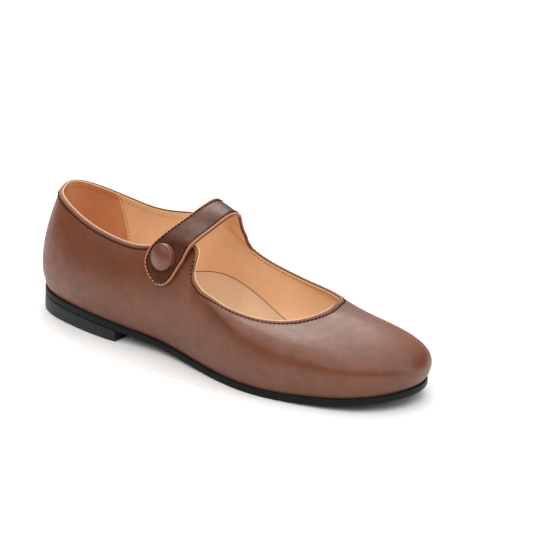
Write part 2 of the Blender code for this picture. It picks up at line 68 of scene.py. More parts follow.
# Driving sizes of the last
SHOE_LENGTH = 242 * MM
BALL_WIDTH = 84 * MM
UPPER_HEIGHT = 54 * MM
HEEL_RISE = 9.1 * MM
TOE_SPRING = 8.5 * MM
SOLE_THICKNESS = 3.85 * MM
SOLE_MARGIN = 1.15 * MM
UPPER_WALL = 2.0 * MM
HEEL_LENGTH = 70 * MM
INSOLE_THICKNESS = 3.0 * MM
INSOLE_CUP_RUN = 30 * MM
STRAP_THICKNESS = 2.0 * MM
BUTTON_RADIUS = 7.2 * MM
BUTTON_HEIGHT = 4.6 * MM
BUTTON_SETBACK = 14.5 * MM

# Clearances between the pieces
SEAM_GAP = 0.3 * MM
FLUSH_GAP = 0.05 * MM

# How deep the trough is in which the topline's stitches lie
STITCH_TROUGH = 0.28 * MM

# How finely the surfaces are divided
ROUND_PLACES = 640
SOLE_PLACES = 480
TURN_RADIUS = 14 * MM
FINE_PLACES = 12000

# The rows of a rib: how many run up to the widest line, how many on to a share of the upper half, and how
# many lie close together above that share
LOW_ROWS = 9
HIGH_ROWS = 22
RIM_ROWS = 18
RIM_SHARE = 0.84

# One row per rib of the last, from the heel back along the outer side to the toe tip and back along
# the inner side. wide_x, top_x are shares of SHOE_LENGTH; wide_y, top_y, tuck of BALL_WIDTH; wide_z,
# top_z, cup of UPPER_HEIGHT. tuck is how far the feather line lies inside the widest line, and cup
# how far the footbed's edge stands above its middle. low_pull, high_pull and lean place the two
# curve handles of the upper half of a rib.
Station = namedtuple(
    "Station", "name wide_x wide_y top_x top_y top_z low_pull high_pull lean tuck wide_z cup"
)
STATIONS = (
    Station("heel back", 0.003, -0.010, 0.028, -0.012, 0.965, 0.30, 0.65, 0.35, 0.031, 0.285, 0.055),
    Station("heel outer curve", 0.042, -0.241, 0.072, -0.160, 0.952, 0.31, 0.66, 0.35, 0.036, 0.260, 0.055),
    Station("heel outer side", 0.143, -0.366, 0.168, -0.250, 0.846, 0.33, 0.68, 0.35, 0.042, 0.290, 0.055),
    Station("seat outer side", 0.273, -0.407, 0.290, -0.289, 0.803, 0.33, 0.68, 0.35, 0.040, 0.295, 0.050),
    Station("waist outer side", 0.411, -0.406, 0.413, -0.286, 0.972, 0.33, 0.68, 0.35, 0.054, 0.297, 0.045),
    Station("ear top", 0.445, -0.417, 0.466, -0.290, 1.048, 0.33, 0.68, 0.35, 0.054, 0.293, 0.042),
    Station("ear front", 0.470, -0.428, 0.489, -0.320, 1.030, 0.34, 0.68, 0.35, 0.053, 0.290, 0.040),
    Station("ear foot", 0.500, -0.444, 0.493, -0.372, 0.878, 0.36, 0.69, 0.36, 0.050, 0.284, 0.038),
    Station("throat corner", 0.535, -0.463, 0.508, -0.396, 0.775, 0.38, 0.69, 0.36, 0.047, 0.278, 0.035),
    Station("throat outer side", 0.590, -0.491, 0.530, -0.404, 0.726, 0.40, 0.70, 0.37, 0.040, 0.268, 0.029),
    Station("ball outer side", 0.657, -0.515, 0.548, -0.404, 0.701, 0.43, 0.72, 0.37, 0.036, 0.260, 0.020),
    Station("toe outer side", 0.803, -0.457, 0.627, -0.358, 0.566, 0.50, 0.80, 0.39, 0.031, 0.240, 0.012),
    Station("toe outer curve", 0.936, -0.288, 0.714, -0.175, 0.458, 0.62, 0.88, 0.41, 0.031, 0.215, 0.010),
    Station("toe tip", 0.999, 0.011, 0.755, 0.042, 0.470, 0.68, 0.90, 0.42, 0.040, 0.160, 0.010),
    Station("toe inner curve", 0.968, 0.267, 0.739, 0.213, 0.465, 0.62, 0.88, 0.41, 0.032, 0.155, 0.010),
    Station("toe inner side", 0.865, 0.411, 0.714, 0.357, 0.502, 0.48, 0.59, 0.39, 0.032, 0.165, 0.012),
    Station("ball inner side", 0.732, 0.477, 0.618, 0.391, 0.596, 0.40, 0.68, 0.37, 0.038, 0.235, 0.030),
    Station("instep inner side", 0.580, 0.413, 0.492, 0.346, 0.767, 0.34, 0.68, 0.35, 0.062, 0.280, 0.055),
    Station("waist inner side", 0.437, 0.338, 0.389, 0.309, 0.979, 0.33, 0.68, 0.35, 0.085, 0.296, 0.345),
    Station("seat inner side", 0.273, 0.341, 0.257, 0.287, 0.874, 0.33, 0.68, 0.35, 0.066, 0.297, 0.150),
    Station("heel inner side", 0.136, 0.351, 0.138, 0.265, 0.893, 0.33, 0.68, 0.35, 0.043, 0.296, 0.060),
    Station("heel inner curve", 0.036, 0.256, 0.040, 0.142, 0.991, 0.32, 0.67, 0.35, 0.037, 0.292, 0.055),
)

# The sole's underside: along is a share of SHOE_LENGTH, and its height is the heel share of
# HEEL_RISE plus the toe share of TOE_SPRING.
SolePoint = namedtuple("SolePoint", "along heel toe")
SOLE_PROFILE = (
    SolePoint(0.000, 1.000, 0.000),
    SolePoint(0.240, 0.783, 0.000),
    SolePoint(0.372, 0.496, 0.000),
    SolePoint(0.496, 0.166, 0.000),
    SolePoint(0.600, 0.000, 0.000),
    SolePoint(0.702, 0.000, 0.000),
    SolePoint(0.826, 0.000, 0.203),
    SolePoint(0.930, 0.000, 0.520),
    SolePoint(1.033, 0.000, 1.000),
)

# The strap's two edges, from the tab on the outer side over the foot to its end inside the inner
# wall. x is a share of SHOE_LENGTH, y of BALL_WIDTH, and z of UPPER_HEIGHT above the sole's top.
StrapRow = namedtuple("StrapRow", "name rear_x rear_y rear_z front_x front_y front_z")
STRAP = (
    StrapRow("tab end", 0.363, -0.36, 0.650, 0.444, -0.36, 0.590),
    StrapRow("tab middle", 0.360, -0.34, 0.785, 0.452, -0.34, 0.785),
    StrapRow("below the topline", 0.368, -0.32, 0.905, 0.465, -0.35, 0.925),
    StrapRow("over the topline", 0.382, -0.280, 1.000, 0.478, -0.335, 1.072),
    StrapRow("off the wall", 0.396, -0.205, 1.092, 0.482, -0.255, 1.135),
    StrapRow("outer rise", 0.406, -0.095, 1.170, 0.482, -0.130, 1.175),
    StrapRow("crown", 0.411, 0.045, 1.235, 0.484, 0.035, 1.240),
    StrapRow("inner shoulder", 0.411, 0.170, 1.245, 0.478, 0.130, 1.225),
    StrapRow("inner bend", 0.406, 0.248, 1.195, 0.470, 0.208, 1.160),
    StrapRow("above the wall", 0.401, 0.270, 1.070, 0.465, 0.250, 1.030),
    StrapRow("inside the topline", 0.399, 0.270, 0.920, 0.465, 0.276, 0.880),
    StrapRow("sewn end", 0.397, 0.300, 0.780, 0.465, 0.310, 0.730),
)

# The button's profile from its back to its middle: out is a share of BUTTON_RADIUS, up of
# BUTTON_HEIGHT. The dip near the edge is the groove inside its rolled rim.
ButtonRing = namedtuple("ButtonRing", "out up")
BUTTON = (
    ButtonRing(0.30, -0.06),
    ButtonRing(0.80, -0.04),
    ButtonRing(0.95, 0.06),
    ButtonRing(1.00, 0.24),
    ButtonRing(0.99, 0.44),
    ButtonRing(0.945, 0.59),
    ButtonRing(0.89, 0.615),
    ButtonRing(0.855, 0.605),
    ButtonRing(0.80, 0.68),
    ButtonRing(0.66, 0.80),
    ButtonRing(0.48, 0.90),
    ButtonRing(0.26, 0.97),
    ButtonRing(0.06, 1.00),
)


class ShoeSizes(bpy.types.PropertyGroup):
    """Sizes of the trimmings that a user would change."""

    stitch_pitch: bpy.props.FloatProperty(
        name="Stitch pitch", description="Length of one stitch and its gap", default=2.2 * MM, unit="LENGTH"
    )
    stitch_length: bpy.props.FloatProperty(
        name="Stitch length", description="Length of thread that shows", default=1.35 * MM, unit="LENGTH"
    )
    thread_radius: bpy.props.FloatProperty(
        name="Thread radius", description="Radius of the sewing thread", default=0.40 * MM, unit="LENGTH"
    )
    topline_stitch_depth: bpy.props.FloatProperty(
        name="Topline stitch depth", description="How far the stitches lie below the topline",
        default=1.25 * MM, unit="LENGTH",
    )
    lining_stitch_depth: bpy.props.FloatProperty(
        name="Lining stitch depth", description="How far the lining's stitches lie below the topline",
        default=3.0 * MM, unit="LENGTH",
    )
    piping_radius: bpy.props.FloatProperty(
        name="Piping radius", description="Radius of the rolls on the topline",
        default=0.45 * MM, unit="LENGTH",
    )
    binding_radius: bpy.props.FloatProperty(
        name="Binding radius", description="Radius of the rolled strap edge", default=0.52 * MM, unit="LENGTH"
    )
    grain_size: bpy.props.FloatProperty(
        name="Grain size", description="Size of the leather's pores", default=0.5 * MM, unit="LENGTH"
    )


class ShoeColours(bpy.types.PropertyGroup):
    """Colours of the leathers, the thread and the sole."""

    upper: bpy.props.FloatVectorProperty(
        name="Upper", description="Brown leather of the upper",
        default=(0.138, 0.04, 0.015), subtype="COLOR",
    )
    # The button uses this colour made lighter, as a painted sheen
    strap: bpy.props.FloatVectorProperty(
        name="Strap", description="Darker leather of strap and button",
        default=(0.085, 0.027, 0.014), subtype="COLOR",
    )
    piping: bpy.props.FloatVectorProperty(
        name="Piping", description="Light leather of the rolled edges",
        default=(0.29, 0.108, 0.052), subtype="COLOR",
    )
    lining: bpy.props.FloatVectorProperty(
        name="Lining", description="Tan leather inside the shoe",
        default=(0.88, 0.58, 0.34), subtype="COLOR",
    )
    # Its darker tone is partly the heel lining's own leather and partly painted shade inside the heel
    heel_lining: bpy.props.FloatVectorProperty(
        name="Heel lining", description="Darker leather inside the heel",
        default=(0.66, 0.31, 0.15), subtype="COLOR",
    )
    lining_edge: bpy.props.FloatVectorProperty(
        name="Lining edge", description="Pale cut edge of the lining",
        default=(0.86, 0.60, 0.40), subtype="COLOR",
    )
    thread: bpy.props.FloatVectorProperty(
        name="Thread", description="Dark sewing thread",
        default=(0.012, 0.005, 0.004), subtype="COLOR",
    )
    sole: bpy.props.FloatVectorProperty(
        name="Sole", description="Black rubber of sole and heel",
        default=(0.012, 0.013, 0.014), subtype="COLOR",
    )


def closed_spline(knots, values, where):
    """Return value and slope of the smooth closed cubic spline through values at knots (0 to 1)."""
    count = len(knots)
    step = np.diff(np.append(knots, 1.0))
    climb = (np.roll(values, -1, axis=0) - values) / step[:, None]
    here = np.arange(count)
    system = np.zeros((count, count))
    np.add.at(system, (here, (here - 1) % count), np.roll(step, 1))
    np.add.at(system, (here, here), 2.0 * (np.roll(step, 1) + step))
    np.add.at(system, (here, (here + 1) % count), step)
    bend = np.linalg.solve(system, 6.0 * (climb - np.roll(climb, 1, axis=0)))
    first = np.searchsorted(knots, where, side="right") - 1
    last = (first + 1) % count
    width = step[first][:, None]
    done = (where - knots[first])[:, None]
    left = width - done
    value = (bend[first] * left**3 + bend[last] * done**3) / (6.0 * width)
    value += (values[first] / width - bend[first] * width / 6.0) * left
    value += (values[last] / width - bend[last] * width / 6.0) * done
    slope = (bend[last] * done**2 - bend[first] * left**2) / (2.0 * width)
    slope += (values[last] - values[first]) / width - (bend[last] - bend[first]) * width / 6.0
    return value, slope


def steady_slopes(places, heights):
    """Return slopes that never let a curve overshoot its points (harmonic means of its climbs)."""
    climb = np.diff(heights) / np.diff(places)
    slopes = np.zeros(len(places))
    rising = climb[:-1] * climb[1:] > 0.0
    both = climb[:-1] + climb[1:]
    slopes[1:-1][rising] = (2.0 * climb[:-1] * climb[1:])[rising] / both[rising]
    slopes[0] = climb[0]
    slopes[-1] = climb[-1]
    return slopes


def hermite(places, values, slopes, where):
    """Return the curve through values, with these slopes, at each place in where."""
    span = np.clip(np.searchsorted(places, where, side="right") - 1, 0, len(places) - 2)
    width = places[span + 1] - places[span]
    t = (where - places[span]) / width
    if values.ndim > 1:
        width = width[..., None]
        t = t[..., None]
    value = values[span] * (1.0 + 2.0 * t) * (1.0 - t) ** 2
    value = value + slopes[span] * width * t * (1.0 - t) ** 2
    value = value + values[span + 1] * t**2 * (3.0 - 2.0 * t)
    return value + slopes[span + 1] * width * t**2 * (t - 1.0)


def sole_bottom(x):
    """Return the height of the sole's underside at each x."""
    places = np.array([point.along for point in SOLE_PROFILE]) * SHOE_LENGTH
    heights = np.array([point.heel * HEEL_RISE + point.toe * TOE_SPRING for point in SOLE_PROFILE])
    return hermite(places, heights, steady_slopes(places, heights), np.clip(x, places[0], places[-1]))


def sole_top(x):
    """Return the height of the sole's top at each x."""
    return sole_bottom(x) + SOLE_THICKNESS


def unit(vectors):
    """Return the vectors at length 1."""
    return vectors / np.maximum(np.linalg.norm(vectors, axis=-1, keepdims=True), 1e-12)


def running_length(points, axis=0):
    """Return the length of a line, or of each line in a grid, from its start up to each point."""
    steps = np.linalg.norm(np.diff(points, axis=axis), axis=-1)
    start = np.zeros_like(np.take(steps, [0], axis=axis))
    return np.concatenate([start, np.cumsum(steps, axis=axis)], axis=axis)


def smooth_step(low, high, value):
    """Return 0 below low and 1 above high, with a soft S between."""
    t = np.clip((value - low) / (high - low), 0.0, 1.0)
    return t * t * (3.0 - 2.0 * t)


def blend(first, second, share):
    """Return the mix of two values: the first at share 0 and the second at share 1."""
    return first * (1.0 - share) + second * share


def points_along(line, run, at):
    """Return the points of a line at these running lengths, by straight steps."""
    return np.stack([np.interp(at, run, line[:, axis]) for axis in range(line.shape[1])], axis=-1)


def station_columns():
    """Return each rib's share of the way round the widest line, and the rib table in metres."""
    table = np.array([station[1:] for station in STATIONS])
    scales = [SHOE_LENGTH, BALL_WIDTH, SHOE_LENGTH, BALL_WIDTH, UPPER_HEIGHT]
    scales += [1.0, 1.0, 1.0, BALL_WIDTH, UPPER_HEIGHT, UPPER_HEIGHT]
    table = table * np.array(scales)
    chord = np.linalg.norm(np.roll(table[:, :2], -1, axis=0) - table[:, :2], axis=1)
    way = np.concatenate([[0.0], np.cumsum(chord)])
    return way[:-1] / way[-1], table


def turning_places(count):
    """Return places round the shoe that lie closer where the widest line or the topline turns."""
    knots, table = station_columns()
    fine = np.arange(FINE_PLACES) / FINE_PLACES
    values, slopes = closed_spline(knots, table, fine)
    effort = np.zeros(FINE_PLACES)
    for first, last in ((0, 2), (2, 5)):
        line = values[:, first:last]
        heading = unit(slopes[:, first:last])
        effort += np.linalg.norm(np.roll(line, -1, axis=0) - line, axis=1)
        effort += TURN_RADIUS * np.linalg.norm(np.roll(heading, -1, axis=0) - heading, axis=1)
    spent = np.concatenate([[0.0], np.cumsum(effort)])
    return np.interp(np.arange(count) / count * spent[-1], spent, np.append(fine, 1.0))


class Last:
    """The foot form: ribs at places round the shoe, each with rows from the sole to the topline.

    low holds the heights of the rows below the widest line and high those above it, each 0 to 1.
    """

    def __init__(self, places, low, high):
        """Work out the ribs of the upper's outer face and its outward normals."""
        knots, table = station_columns()
        values, slopes = closed_spline(knots, table, places)
        self.places = places
        self.wide = values[:, 0:2]
        self.top = values[:, 2:4]
        self.cup = values[:, 10]
        self.outward = unit(np.column_stack([slopes[:, 1], -slopes[:, 0]]))
        self.feather = self.wide - self.outward * values[:, 8:9]
        self.base = sole_top(self.feather[:, 0])
        self.ribs = self.outer_ribs(values, low[None, :], high[None, :])
        climb = running_length(self.ribs, axis=1).mean(axis=0)
        around = np.roll(self.ribs, -1, axis=0) - np.roll(self.ribs, 1, axis=0)
        self.around = unit(around)
        self.normals = unit(np.cross(around, np.gradient(self.ribs, climb, axis=1)))
        self.climbing = unit(np.cross(self.normals, self.around))

    def outer_ribs(self, values, low, high):
        """Return the points of the ribs.

        Below the widest line a rib is a parabola that ends upright. Above it, it is a cubic curve
        that starts upright and leans in to the topline.
        """
        foot = self.base + FLUSH_GAP
        out = 2.0 * low - low**2
        low_xy = self.feather[:, None] + (self.wide - self.feather)[:, None] * out[..., None]
        middle = self.base + values[:, 9]
        low_z = foot[:, None] + (middle - foot)[:, None] * low
        first = 3.0 * (1.0 - high) ** 2 * high
        second = 3.0 * (1.0 - high) * high**2
        run = second * values[:, 7:8] + high**3
        rise = first * values[:, 5:6] + second * values[:, 6:7] + high**3
        high_xy = self.wide[:, None] + (self.top - self.wide)[:, None] * run[..., None]
        high_z = middle[:, None] + (values[:, 4] - values[:, 9])[:, None] * rise
        plan = np.concatenate([low_xy, high_xy], axis=1)
        heights = np.concatenate([low_z, high_z], axis=1)
        return np.concatenate([plan, heights[..., None]], axis=2)

    def face(self, depth):
        """Return the ribs moved inwards by a depth, with one more ring that stands on the sole."""
        moved = self.ribs - self.normals * depth
        plan = self.feather - self.outward * depth
        foot = np.column_stack([plan, sole_top(plan[:, 0]) + FLUSH_GAP])
        return np.concatenate([foot[:, None], moved], axis=1)

    def outline(self, margin):
        """Return the plan of the feather line moved outwards by a margin."""
        return self.feather + self.outward * margin

    def edge_line(self, depth, height):
        """Return the topline moved inwards by a depth and up the wall by a height."""
        return self.ribs[:, -1] - self.normals[:, -1] * depth + self.climbing[:, -1] * height

    def rim_line(self, inward, up):
        """Return the topline moved level inwards and up, each square to its own direction."""
        around = self.around[:, -1]
        level = np.column_stack([-self.outward, np.zeros(len(around))])
        level = unit(level - around * np.einsum("ij,ij->i", level, around)[:, None])
        raised = np.cross(level, around)
        raised = raised * np.sign(raised[:, 2:3])
        return self.ribs[:, -1] + level * inward + raised * up, level, raised

    def line_below(self, distance, depth):
        """Return the line that runs a distance below the topline, at a depth, and its normals."""
        face = (self.ribs - self.normals * depth)[:, ::-1]
        normals = self.normals[:, ::-1]
        run = running_length(face, axis=1)
        distance = np.broadcast_to(distance, (len(face),))
        after = np.clip((run < distance[:, None]).sum(axis=1), 1, run.shape[1] - 1)
        rib = np.arange(len(face))
        share = (distance - run[rib, after - 1]) / (run[rib, after] - run[rib, after - 1])
        share = np.clip(share, 0.0, 1.0)[:, None]
        line = blend(face[rib, after - 1], face[rib, after], share)
        return line, unit(blend(normals[rib, after - 1], normals[rib, after], share))


def wall_rows():
    """Return the shares of height of the rows below and above the widest line, close at the top."""
    low = np.linspace(0.0, 1.0, LOW_ROWS)
    high = np.linspace(0.0, RIM_SHARE, HIGH_ROWS + 1)[1:]
    rim = np.linspace(RIM_SHARE, 1.0, RIM_ROWS + 1)[1:]
    return low, np.concatenate([high, rim])


LAST = Last(turning_places(ROUND_PLACES), *wall_rows())
EVEN_LAST = Last(np.arange(SOLE_PLACES) / SOLE_PLACES, *wall_rows())


def frame_shift():
    """Return the move from the last to the frame: the sole's outline fills the CAD sole's box."""
    outline = EVEN_LAST.outline(SOLE_MARGIN)
    low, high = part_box("outsole")
    middle = 0.5 * (outline.min(axis=0) + outline.max(axis=0))
    return np.array([0.5 * (low.x + high.x) - middle[0], 0.5 * (low.y + high.y) - middle[1], 0.0])


SHIFT = frame_shift()


def grid_quads(rows, columns, close_rows, close_columns):
    """Return the quads of a grid of points, whose rows and columns may close on themselves."""
    row = np.arange(rows if close_rows else rows - 1)[:, None]
    column = np.arange(columns if close_columns else columns - 1)[None, :]
    after, beside = (row + 1) % rows, (column + 1) % columns
    here, there = row * columns, after * columns
    corners = (here + column, here + beside, there + beside, there + column)
    return np.stack(corners, axis=-1).reshape(-1, 4)


def signed_volume(points, quads):
    """Return the volume inside closed quads, negative if they face inwards."""
    a, b, c, d = (points[quads[:, corner]] for corner in range(4))
    first = np.einsum("ij,ij->i", a, np.cross(b, c))
    second = np.einsum("ij,ij->i", a, np.cross(c, d))
    return (first.sum() + second.sum()) / 6.0


def add_piece(name, points, quads, material, replaces=()):
    """Add one closed piece, facing outwards, that rides on the shoe."""
    points = points.reshape(-1, 3)
    if signed_volume(points, quads) < 0.0:
        quads = quads[:, ::-1]
    mesh = bpy.data.meshes.new(name)
    mesh.from_pydata((points + SHIFT).tolist(), [], quads.tolist())
    form = bmesh.new()
    form.from_mesh(mesh)
    bmesh.ops.remove_doubles(form, verts=form.verts, dist=0.001 * MM)
    bmesh.ops.holes_fill(form, edges=[edge for edge in form.edges if edge.is_boundary])
    form.to_mesh(mesh)
    form.free()
    mesh.shade_smooth()
    mesh.set_sharp_from_angle(angle=math.radians(50.0))
    mesh.materials.append(material)
    piece = bpy.data.objects.new(name, mesh)
    bpy.context.scene.collection.objects.link(piece)
    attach(piece, "root")
    for node in replaces:
        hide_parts(node)
    return piece


def add_slices(name, slices, closed, material, replaces=()):
    """Add a piece from slices, each a ring of points; closed joins the last slice to the first."""
    quads = grid_quads(*slices.shape[:2], closed, True)
    return add_piece(name, slices, quads, material, replaces)


def add_ring_shell(name, outer, inner, material, replaces=()):
    """Add a shell that goes all round the shoe: outer and inner face, joined at top and bottom."""
    grid = np.concatenate([outer, inner[:, ::-1]], axis=1)
    return add_slices(name, grid, True, material, replaces)


def add_strip_shell(name, outer, inner, material, slot, replaces=()):
    """Add a shell with two ends: outer and inner face, joined along all four sides."""
    grid = np.concatenate([outer, inner[:, ::-1]], axis=1)
    rows, columns = grid.shape[:2]
    quads = grid_quads(rows, columns, False, True)
    step = np.arange(outer.shape[1] - 1)
    first = np.column_stack([step, step + 1, columns - 2 - step, columns - 1 - step])
    last = first + (rows - 1) * columns
    quads = np.concatenate([quads, first, last[:, ::-1]])
    return add_piece(name, grid, quads, material, replaces)


def add_tube(name, centre, axes, radii, sides, closed, material):
    """Add a tube round a line: centre + first axis * r1 * cos(turn) + second axis * r2 * sin(turn)."""
    turn = np.linspace(0.0, 2.0 * math.pi, sides, endpoint=False)[None, :, None]
    along_first = axes[0][:, None] * np.cos(turn) * radii[0]
    along_second = axes[1][:, None] * np.sin(turn) * radii[1]
    return add_slices(name, centre[:, None] + along_first + along_second, closed, material)


# A stitch has a few rings along it and a few points round each ring. Its middle stands up by the
# first share of its radius, and its ends sink by the second.
STITCH_RINGS = 7
STITCH_SIDES = 6
STITCH_LIFT = 0.35
STITCH_SINK = 0.9


def add_stitches(name, line, normals, closed, material, pitch, length, radius):
    """Add a row of stitches along a line on a surface, as one joined mesh.

    With s from -1 to 1 along a stitch, its radius follows the root of 1 - 0.94 s^4, and its middle
    sinks as s^4 towards its ends, as thread does where it enters the leather.
    """
    if closed:
        line = np.vstack([line, line[:1]])
        normals = np.vstack([normals, normals[:1]])
    run = running_length(line)
    count = max(int(run[-1] / pitch), 2)
    start = (np.arange(count) + 0.5) * run[-1] / count
    place = np.linspace(-1.0, 1.0, STITCH_RINGS)
    at = start[:, None] + place[None, :] * 0.5 * length
    centre = points_along(line, run, at)
    normal = unit(points_along(normals, run, at))
    heading = unit(np.gradient(centre, axis=1))
    side = unit(np.cross(heading, normal))
    thick = radius * np.sqrt(np.clip(1.0 - 0.94 * place**4, 0.0, 1.0))[None, :, None, None]
    centre = centre + normal * (radius * (STITCH_LIFT - STITCH_SINK * place**4))[None, :, None]
    turn = np.linspace(0.0, 2.0 * math.pi, STITCH_SIDES, endpoint=False)[None, None, :, None]
    spoke = normal[:, :, None] * np.cos(turn) + side[:, :, None] * np.sin(turn)
    quads = grid_quads(STITCH_RINGS, STITCH_SIDES, False, True)
    ends = np.array([[0, 1, 2, 3], [0, 3, 4, 5]])
    ends = np.concatenate([ends, (ends + (STITCH_RINGS - 1) * STITCH_SIDES)[:, ::-1]])
    one = np.concatenate([quads[:, ::-1], ends])
    first_point = np.arange(count) * STITCH_RINGS * STITCH_SIDES
    all_quads = (one[None] + first_point[:, None, None]).reshape(-1, 4)
    return add_piece(name, centre[:, :, None] + thick * spoke, all_quads, material)


def new_material(name):
    """Return a material's node tree, its shader and the place on the object."""
    material = bpy.data.materials.new(name)
    material.use_nodes = True
    tree = material.node_tree
    place = tree.nodes.new("ShaderNodeTexCoord").outputs["Object"]
    return material, tree, tree.nodes["Principled BSDF"], place


def noise(tree, place, size, detail):
    """Return noise whose largest blobs have about this size."""
    node = tree.nodes.new("ShaderNodeTexNoise")
    node.inputs["Scale"].default_value = 1.0 / size
    node.inputs["Detail"].default_value = detail
    tree.links.new(place, node.inputs["Vector"])
    return node.outputs["Fac"]


def ramp(tree, value, low, high, dark, light):
    """Return a colour that goes from dark to light as the value goes from low to high."""
    node = tree.nodes.new("ShaderNodeValToRGB")
    node.color_ramp.elements[0].position = low
    node.color_ramp.elements[1].position = high
    node.color_ramp.elements[0].color = (*dark, 1.0)
    node.color_ramp.elements[1].color = (*light, 1.0)
    tree.links.new(value, node.inputs["Fac"])
    return node.outputs["Color"]


def remap(tree, value, low, high):
    """Return the value, 0 to 1, moved to the range low to high."""
    node = tree.nodes.new("ShaderNodeMapRange")
    node.inputs["To Min"].default_value = low
    node.inputs["To Max"].default_value = high
    tree.links.new(value, node.inputs["Value"])
    return node.outputs["Result"]


def math_node(tree, operation, first, second):
    """Return one sum, product or the like of two values."""
    node = tree.nodes.new("ShaderNodeMath")
    node.operation = operation
    for socket, value in zip(node.inputs, (first, second)):
        if isinstance(value, float):
            socket.default_value = value
        else:
            tree.links.new(value, socket)
    return node.outputs["Value"]


def add_bump(tree, shader, height, distance, strength):
    """Raise the surface by the height, 0 to 1, times a distance."""
    node = tree.nodes.new("ShaderNodeBump")
    node.inputs["Distance"].default_value = distance
    node.inputs["Strength"].default_value = strength
    tree.links.new(height, node.inputs["Height"])
    tree.links.new(node.outputs["Normal"], shader.inputs["Normal"])


def shade(colour, factor):
    """Return a colour made lighter or darker."""
    return tuple(min(channel * factor, 1.0) for channel in colour)


# Every leather: the colour it starts from, how much lighter or darker it is, its roughness, how much
# its tone varies, its coat and its gloss
Leather = namedtuple("Leather", "colour tone roughness mottle coat gloss", defaults=(0.0, 0.4))
LEATHERS = {
    "footbed": Leather("lining", 0.76, 0.40, 0.05),
    # footbed edge: a dark tube of painted shadow for the gap between footbed and wall
    "footbed_edge": Leather("piping", 0.45, 0.60, 0.10),
    "upper": Leather("upper", 1.00, 0.43, 0.20, gloss=0.60),
    "piping": Leather("piping", 1.00, 0.34, 0.10, coat=0.15),
    "outer_piping": Leather("piping", 0.68, 0.44, 0.10, gloss=0.20),
    # fold: the upper's leather darkened, painted shade for the dark gap between piping and lining edge
    "fold": Leather("upper", 0.70, 0.45, 0.10),
    "lining_edge": Leather("lining_edge", 1.00, 0.50, 0.04),
    # stitch channel: a dark strip of painted shade for the shadow in the stitches' trough
    "stitch_channel": Leather("upper", 0.62, 0.60, 0.10, gloss=0.20),
    "lining": Leather("lining", 1.00, 0.46, 0.05),
    # heel lining: darker partly by its own leather and partly by painted shade inside the heel
    "heel_lining": Leather("heel_lining", 1.00, 0.55, 0.06),
    "strap": Leather("strap", 0.88, 0.34, 0.40, gloss=0.15),
    "strap_lining": Leather("lining", 1.00, 0.46, 0.05),
    "binding": Leather("piping", 1.60, 0.40, 0.10, coat=0.15),
    "lower_edge": Leather("piping", 0.40, 0.42, 0.10, coat=0.10),
    # button: the strap's leather made lighter, a painted sheen for the soft highlight on the button
    "button": Leather("strap", 1.80, 0.36, 0.15, coat=0.60),
    "button_collar": Leather("piping", 1.00, 0.40, 0.10, coat=0.20),
}

# The leather's clouds, streaks and creases: their size, their detail and their share of the tone
Pattern = namedtuple("Pattern", "size detail share")
PATTERNS = (Pattern(22 * MM, 4.0, 0.45), Pattern(5.0 * MM, 5.0, 0.33), Pattern(1.6 * MM, 3.0, 0.22))
TONE_RANGE = (0.38, 0.62)
GLOSS_SPREAD = 0.10
GRAIN_HEIGHT = 0.08 * MM
GRAIN_STRENGTH = 0.55
COAT_ROUGHNESS = 0.35


def leather(name):
    """Smooth grained leather: cloudy colour, uneven gloss, and pores and creases as a fine relief."""
    kind = LEATHERS[name]
    colour = shade(getattr(bpy.context.scene.shoe_colours, kind.colour), kind.tone)
    material, tree, shader, place = new_material(name + "_leather")
    fields = [noise(tree, place, pattern.size, pattern.detail) for pattern in PATTERNS]
    cloud, streak, crease = (
        math_node(tree, "MULTIPLY", field, pattern.share) for field, pattern in zip(fields, PATTERNS)
    )
    cells = tree.nodes.new("ShaderNodeTexVoronoi")
    cells.inputs["Scale"].default_value = 1.0 / bpy.context.scene.shoe_sizes.grain_size
    tree.links.new(place, cells.inputs["Vector"])
    blotch = math_node(tree, "ADD", math_node(tree, "ADD", cloud, streak), crease)
    dark, light = shade(colour, 1.0 - kind.mottle), shade(colour, 1.0 + kind.mottle)
    tone = ramp(tree, blotch, *TONE_RANGE, dark, light)
    tree.links.new(tone, shader.inputs["Base Color"])
    uneven = remap(tree, fields[1], kind.roughness + GLOSS_SPREAD, kind.roughness - GLOSS_SPREAD)
    tree.links.new(uneven, shader.inputs["Roughness"])
    pores = math_node(tree, "MULTIPLY", cells.outputs["Distance"], 0.5)
    add_bump(tree, shader, math_node(tree, "ADD", pores, fields[2]), GRAIN_HEIGHT, GRAIN_STRENGTH)
    shader.inputs["Specular IOR Level"].default_value = kind.gloss
    shader.inputs["Coat Weight"].default_value = kind.coat
    shader.inputs["Coat Roughness"].default_value = COAT_ROUGHNESS
    return material


# Rubber and thread: the size of the scuffs, of the rubber's grain and of the thread's strands
SCUFF_SIZE = 3.0 * MM
RUBBER_GRAIN = 0.6 * MM
STRAND_SIZE = 0.25 * MM


def rubber(name, colour, gloss):
    """Black rubber with a soft satin edge and faint scuffs."""
    material, tree, shader, place = new_material(name)
    scuff = noise(tree, place, SCUFF_SIZE, 5.0)
    tone = ramp(tree, scuff, 0.35, 0.75, colour, shade(colour, 1.7))
    shader.inputs["Specular IOR Level"].default_value = gloss
    tree.links.new(tone, shader.inputs["Base Color"])
    tree.links.new(remap(tree, scuff, 0.42, 0.54), shader.inputs["Roughness"])
    add_bump(tree, shader, noise(tree, place, RUBBER_GRAIN, 2.0), 0.03 * MM, 0.3)
    return material


